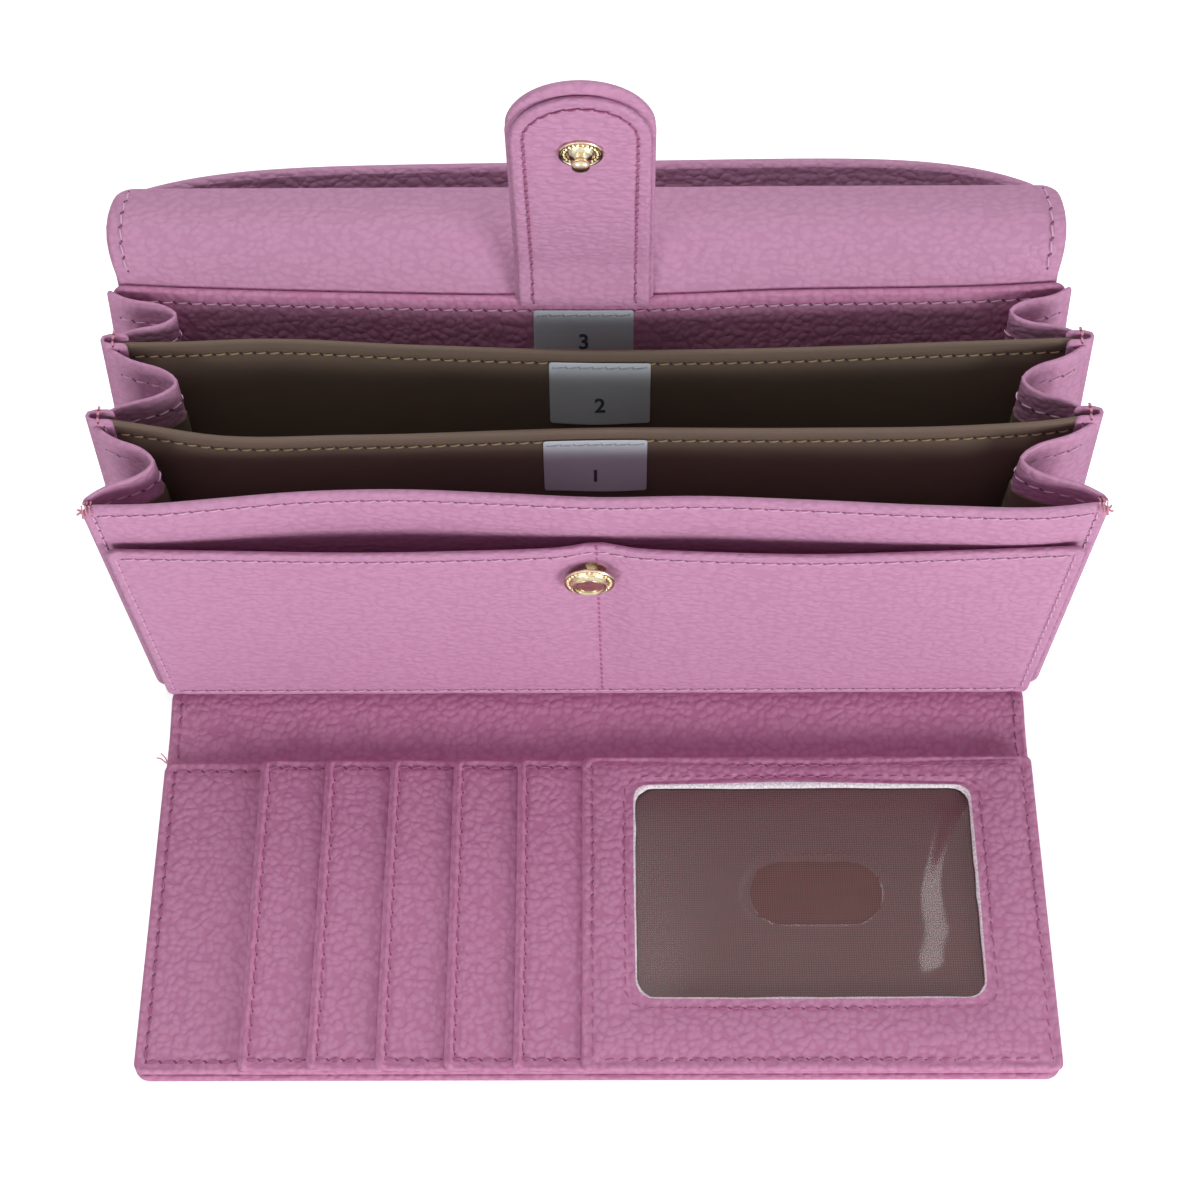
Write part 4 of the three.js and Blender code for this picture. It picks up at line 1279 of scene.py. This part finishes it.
def tab_seam(inset, length, width, depth, count=90):
    """A stitch line that follows the tab's edge at an inset, with its outward normals."""
    radius = width / 2 - inset
    head = length - width / 2
    points = [(radius, z) for z in np.linspace(-TAB_FOOT + 1, head, 34)[:-1]]
    points += [(radius * math.cos(a), head + radius * math.sin(a)) for a in np.linspace(0, math.pi, 30)]
    points += [(-radius, z) for z in np.linspace(head, -TAB_FOOT + 1, 34)[1:]]
    points = np.array(points)
    places = tab_place(points[:, 0], points[:, 1], np.full(len(points), depth))
    normal = np.array([0, -math.cos(TAB_LEAN), -math.sin(TAB_LEAN)]) * (1 if depth < 0 else -1)
    return places, np.tile(normal, (len(points), 1))


def cross_wrinkles(x, z):
    """The short sideways wrinkles where the tab has been bent and worn."""
    band = smoothstep((z - 8) / 14) * (1 - smoothstep((z - 46) / 14))
    ridges = np.sin(2 * np.pi * z / 2.3 + 1.3 * np.sin(x / 4.0)) * (0.5 + 0.5 * soft_waves(x, z, 9, 6))
    return 0.2 * ridges * band + 0.12 * soft_waves(x, z, 21, 9)


def make_tab():
    low, high = node_box("tab_outer")
    width = high[0] - low[0]
    pivot_z = frame_joint("tab_fold")["pos_m"][2] / MM
    length = (high[2] - pivot_z) / math.cos(TAB_LEAN) - 1.2
    lining = Piece("tab_lining_leather", LEATHER, THREAD, HOLE, ROSE_THREAD)
    tab_layer(lining, width - 1.6, length - 2.6, -0.7, 1.3, -1, cross_wrinkles, 2.6)
    stitches(lining, tab_seam(3.3, length - 2.2, width - 0.8, -1.3), 3, 2, pitch=2.6)
    bend_tab_foot(lining.build(None, ["tab_lining"]))
    outer = Piece("tab_outer_leather", LEATHER, THREAD, HOLE, SALMON_THREAD)
    tab_layer(outer, width, length, 0.7, 1.4, 1, lambda x, z: 0.1 * soft_waves(x, z, 18, 2), 2.6)
    stitches(outer, tab_seam(3.3, length, width, 1.3), 1, 2, pitch=2.6)
    bend_tab_foot(outer.build(None, ["tab_outer"]))


def bend_tab_foot(layer):
    """Bakes a tab layer's transform into its mesh; the forward bend at the tab's foot is made where its points are
    placed.
    """
    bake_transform(layer)


def turned(profile, steps=48):
    """Points and faces of a profile of (radius, height) turned about its own axis."""
    points, faces = [], []
    for radius, height in profile:
        for k in range(steps):
            angle = 2 * math.pi * k / steps
            points.append((radius * math.cos(angle), radius * math.sin(angle), height))
    faces = ring_faces(len(profile), steps)
    return np.array(points), faces


def seat(points, place, direction):
    """Stands turned points on a place, with their axis along a direction."""
    turn = Vector((0, 0, 1)).rotation_difference(Vector(direction)).to_matrix()
    return np.array(points) @ np.array(turn).T + np.array(place)


def make_snap_socket():
    """The spring socket: a flanged cup with a ring of small beads and a stepped bore."""
    low, high = node_box("snap_socket")
    centre = (low + high) / 2
    face_y = high[1] - 0.3
    piece = Piece("snap_socket_gold", GOLD, HOLE)
    profile = [(5.0, 0.1), (5.15, 0.25), (5.15, 0.5), (5.0, 0.7), (4.75, 0.75), (4.6, 0.65), (3.75, 0.65),
               (3.6, 0.8), (3.55, 1.3), (3.4, 1.6), (3.15, 1.7), (2.9, 1.6), (2.8, 1.3), (2.4, 1.2),
               (2.25, 1.0), (2.2, 0.7), (1.75, 0.6), (1.65, 0.1), (0.001, 0.1)]
    points, faces = turned(profile)
    place, way = (centre[0], face_y, centre[2]), (0, -1, 0)
    piece.add(seat(points, place, way), faces, 0)
    bead_ring(piece, 4.28, 0.65, 28, 0.3, place, way)
    return piece.build("base", ["snap_socket"], crisp=True)


def bead_ring(piece, radius, height, count, size, place, way):
    """A ring of small beads pressed into a snap's flange."""
    for k in range(count):
        angle = 2 * math.pi * k / count
        profile = [(size * math.cos(t), size * math.sin(t)) for t in np.linspace(0, 1.5, 4)]
        points, faces = turned(profile, 8)
        points = points + np.array([radius * math.cos(angle), radius * math.sin(angle), height])
        piece.add(seat(points, place, way), faces, 0)


def make_snap_stud():
    """The stud on the tab: a beaded flange, a neck and a small ball."""
    pivot = tab_place(0.0, 50.0, -1.35)
    way = (0, -math.cos(TAB_LEAN), -math.sin(TAB_LEAN))
    piece = Piece("snap_stud_gold", GOLD)
    profile = [(4.0, 0.0), (4.15, 0.15), (4.15, 0.4), (4.0, 0.6), (3.7, 0.65), (3.5, 0.5), (2.6, 0.45), (2.4, 0.6),
               (2.1, 1.1), (1.5, 1.35), (1.2, 1.6), (1.25, 1.9), (1.6, 2.2), (1.75, 2.55), (1.75, 2.9), (1.55, 3.25),
               (1.2, 3.45), (0.7, 3.58), (0.001, 3.6)]
    points, faces = turned(profile)
    piece.add(seat(points, pivot, way), faces, 0)
    bead_ring(piece, 3.05, 0.45, 22, 0.3, pivot, way)
    return piece.build("tab", ["snap_stud"], crisp=True)


def make_snap_cap():
    """The domed cap on the tab's outer side."""
    place = tab_place(0.0, 50.0, 1.35)
    way = (0, math.cos(TAB_LEAN), math.sin(TAB_LEAN))
    piece = Piece("snap_cap_gold", GOLD)
    profile = [(6.0, 0.0), (6.2, 0.2), (6.2, 0.5), (6.0, 0.75), (5.0, 1.15), (3.6, 1.5), (2.0, 1.72), (0.001, 1.8)]
    points, faces = turned(profile)
    piece.add(seat(points, place, way), faces, 0)
    return piece.build("tab", ["snap_cap"], crisp=True)


LABEL_WIDTH = 20.4
LABEL_NUMBER_RISE = {1: 4.4, 2: 4.4, 3: 7.6}


def make_label(number, wall, body, node):
    """A satin label sewn under a wall's hem seam, hanging a little free at its foot."""
    low, high = node_box(node)
    centre_x = (low[0] + high[0]) / 2
    length = high[2] - low[2]

    def surface(x, b):
        """b runs down the label from its top edge."""
        z = high[2] - b
        base = wall.surface(x, z)
        hang = 0.5 * (b / length) ** 2 * (0.6 + 0.5 * np.sin((x - centre_x) / 4.2 + number))
        tuck = wall.thickness / 2 + 0.3
        return base - np.stack([0 * x, tuck + hang, 0 * x], axis=-1)

    thread = sewing_thread(f"grey_thread_{number}", "#8F96A4", "#B4BBC7")
    piece = Piece(f"label_{number}_satin", SATIN, thread, HOLE)
    left, right = centre_x - LABEL_WIDTH / 2, centre_x + LABEL_WIDTH / 2
    sheet(piece, surface, (left, right), (0, length), LABEL_THICKNESS, face=-1, corner=0.3, step=1.5)
    line = straight(left + 0.8, 1.1, right - 0.8, 1.1)
    stitches(piece, on_sheet(surface, line, LABEL_THICKNESS / 2, -1), 1, 1, pitch=2.6, radius=0.16)
    label = piece.build(None if body == "divider_1" else body, [node])
    if body == "divider_1":
        let_bow_give(label)
    label_number(number, surface, centre_x, length - LABEL_NUMBER_RISE[number], body)
    return label


def label_number(number, surface, centre_x, b, body):
    """A plain number printed on a label."""
    text = bpy.data.curves.new(f"label_{number}_text", "FONT")
    text.body = str(number)
    text.size = 4.6
    text.align_x = "CENTER"
    text.align_y = "CENTER"
    text.extrude = 0.03
    text.offset = 0.1
    text.resolution_u = 6
    holder = bpy.data.objects.new(f"label_{number}_text", text)
    bpy.context.scene.collection.objects.link(holder)
    bpy.context.view_layer.update()
    mesh = bpy.data.meshes.new_from_object(holder.evaluated_get(bpy.context.evaluated_depsgraph_get()))
    bpy.data.objects.remove(holder)
    mesh.name = f"label_{number}_print"
    flat = np.array([v.co for v in mesh.vertices])
    points, _, _, normal = frame_at(surface, centre_x + flat[:, 0], b - flat[:, 1], -1)
    placed = points + normal * (LABEL_THICKNESS / 2 + 0.03 + flat[:, 2])[:, None]
    mesh.vertices.foreach_set("co", (placed * MM).ravel())
    mesh.materials.clear()
    mesh.materials.append(INK)
    mesh.update()
    printed = bpy.data.objects.new(f"label_{number}_print", mesh)
    bpy.context.scene.collection.objects.link(printed)
    if body == "divider_1":
        let_bow_give(printed)
    else:
        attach(printed, body)
    return printed


def make_camera():
    data = bpy.data.cameras.new("camera")
    data.sensor_width = SENSOR
    data.lens = SENSOR * LENS_PIXELS / PHOTO_PIXELS
    data.clip_start = 0.01
    camera = bpy.data.objects.new("camera", data)
    bpy.context.scene.collection.objects.link(camera)
    pitch, yaw, roll = (math.radians(v) for v in (CAMERA_PITCH, CAMERA_YAW, CAMERA_ROLL))
    forward = Vector((math.sin(yaw) * math.cos(pitch), math.cos(yaw) * math.cos(pitch), -math.sin(pitch)))
    level = Vector((math.cos(yaw), -math.sin(yaw), 0))
    above = level.cross(forward)
    right = level * math.cos(roll) + above * math.sin(roll)
    up = above * math.cos(roll) - level * math.sin(roll)
    turn = Matrix((right, up, -forward)).transposed().to_4x4()
    turn.translation = Vector(CAMERA_PLACE) * MM
    camera.matrix_world = turn
    bpy.context.scene.camera = camera


def area_light(name, place, target, size, power):
    data = bpy.data.lights.new(name, "AREA")
    data.shape = "RECTANGLE"
    data.size, data.size_y = size
    data.energy = power
    light = bpy.data.objects.new(name, data)
    light.location = place
    light.rotation_euler = (Vector(target) - Vector(place)).to_track_quat("-Z", "Y").to_euler()
    bpy.context.scene.collection.objects.link(light)


def make_studio():
    """Two softboxes low in front, a small one high at the back left, and a pale room round them."""
    area_light("front_left_softbox", (-0.5, -1.0, 0.28), (0, 0, 0.05), (0.5, 0.4), 4.8)
    area_light("front_right_softbox", (0.75, -0.8, 0.28), (0, 0, 0.05), (0.5, 0.4), 7.6)
    area_light("back_softbox", (0.1, 0.62, 0.78), (0, 0, 0), (0.7, 0.45), 3.1)
    area_light("high_left_softbox", (-0.27, 0.33, 0.95), (0, -0.02, 0), (0.4, 0.5), 2.4)
    world = bpy.data.worlds.new("studio")
    world.use_nodes = True
    tree = world.node_tree
    background = tree.nodes["Background"]
    path = add_node(tree, "ShaderNodeLightPath")
    seen = path.outputs["Is Camera Ray"]
    for ray in ("Is Glossy Ray", "Is Transmission Ray"):
        seen = add_node(tree, "ShaderNodeMath", {"operation": "MAXIMUM"},
                        links={0: seen, 1: path.outputs[ray]}).outputs["Value"]
    strength = add_node(tree, "ShaderNodeMapRange", links={"Value": seen}, values={"To Min": 0.18, "To Max": 1.0})
    background.inputs["Color"].default_value = (1, 1, 1, 1)
    tree.links.new(strength.outputs["Result"], background.inputs["Strength"])
    bpy.context.scene.world = world


def make_floor():
    """A white table top. Its own picture is lifted to white, and its shadows stay."""
    size = 3.0
    mesh = bpy.data.meshes.new("floor")
    mesh.from_pydata([(-size, -size, 0), (size, -size, 0), (size, size, 0), (-size, size, 0)], [], [(0, 1, 2, 3)])
    floor = bpy.data.objects.new("floor", mesh)
    bpy.context.scene.collection.objects.link(floor)
    material, tree, shader, _ = new_material("white_table")
    shader.inputs["Base Color"].default_value = (0.8, 0.8, 0.8, 1)
    shader.inputs["Roughness"].default_value = 0.9
    path = add_node(tree, "ShaderNodeLightPath")
    lift = add_node(tree, "ShaderNodeMath", {"operation": "MULTIPLY"},
                    links={0: path.outputs["Is Camera Ray"]}, values={1: 0.7})
    shader.inputs["Emission Color"].default_value = (1, 1, 1, 1)
    tree.links.new(lift.outputs["Value"], shader.inputs["Emission Strength"])
    mesh.materials.append(material)


def make_wallet():
    make_cover()
    make_card_panel()
    for number in range(1, 6):
        make_card_slot(number)
    make_id_lining()
    make_id_film()
    make_id_frame()
    make_front_wall()
    make_wall_lining("front_wall_nylon", FRONT_WALL, 1, "front_wall_lining", "base")
    make_front_pocket()
    make_divider(1, FRONT_DIVIDER, "divider_1", "front_divider")
    make_divider(2, REAR_DIVIDER, "divider_2", "rear_divider")
    make_rear_wall()
    make_wall_lining("rear_wall_nylon", REAR_WALL, -1, "rear_wall_lining", "back")
    for side in (-1, 1):
        for index in range(3):
            make_gusset(index, side)
        make_edge_fold(1, FRONT_DIVIDER, "divider_1", side)
        make_edge_fold(2, REAR_DIVIDER, "divider_2", side)
    make_back_panel()
    make_back_sheet()
    make_tab()
    make_snap_socket()
    make_snap_stud()
    make_snap_cap()
    make_label(1, FRONT_DIVIDER, "divider_1", "label_1")
    make_label(2, REAR_DIVIDER, "divider_2", "label_2")
    make_label(3, REAR_WALL, "back", "label_3")


make_wallet()
make_floor()
make_studio()
make_camera()
frame["nodes"]["socket_rivet"].data.materials.clear()
frame["nodes"]["socket_rivet"].data.materials.append(GOLD)
bpy.context.scene.view_settings.view_transform = "Standard"
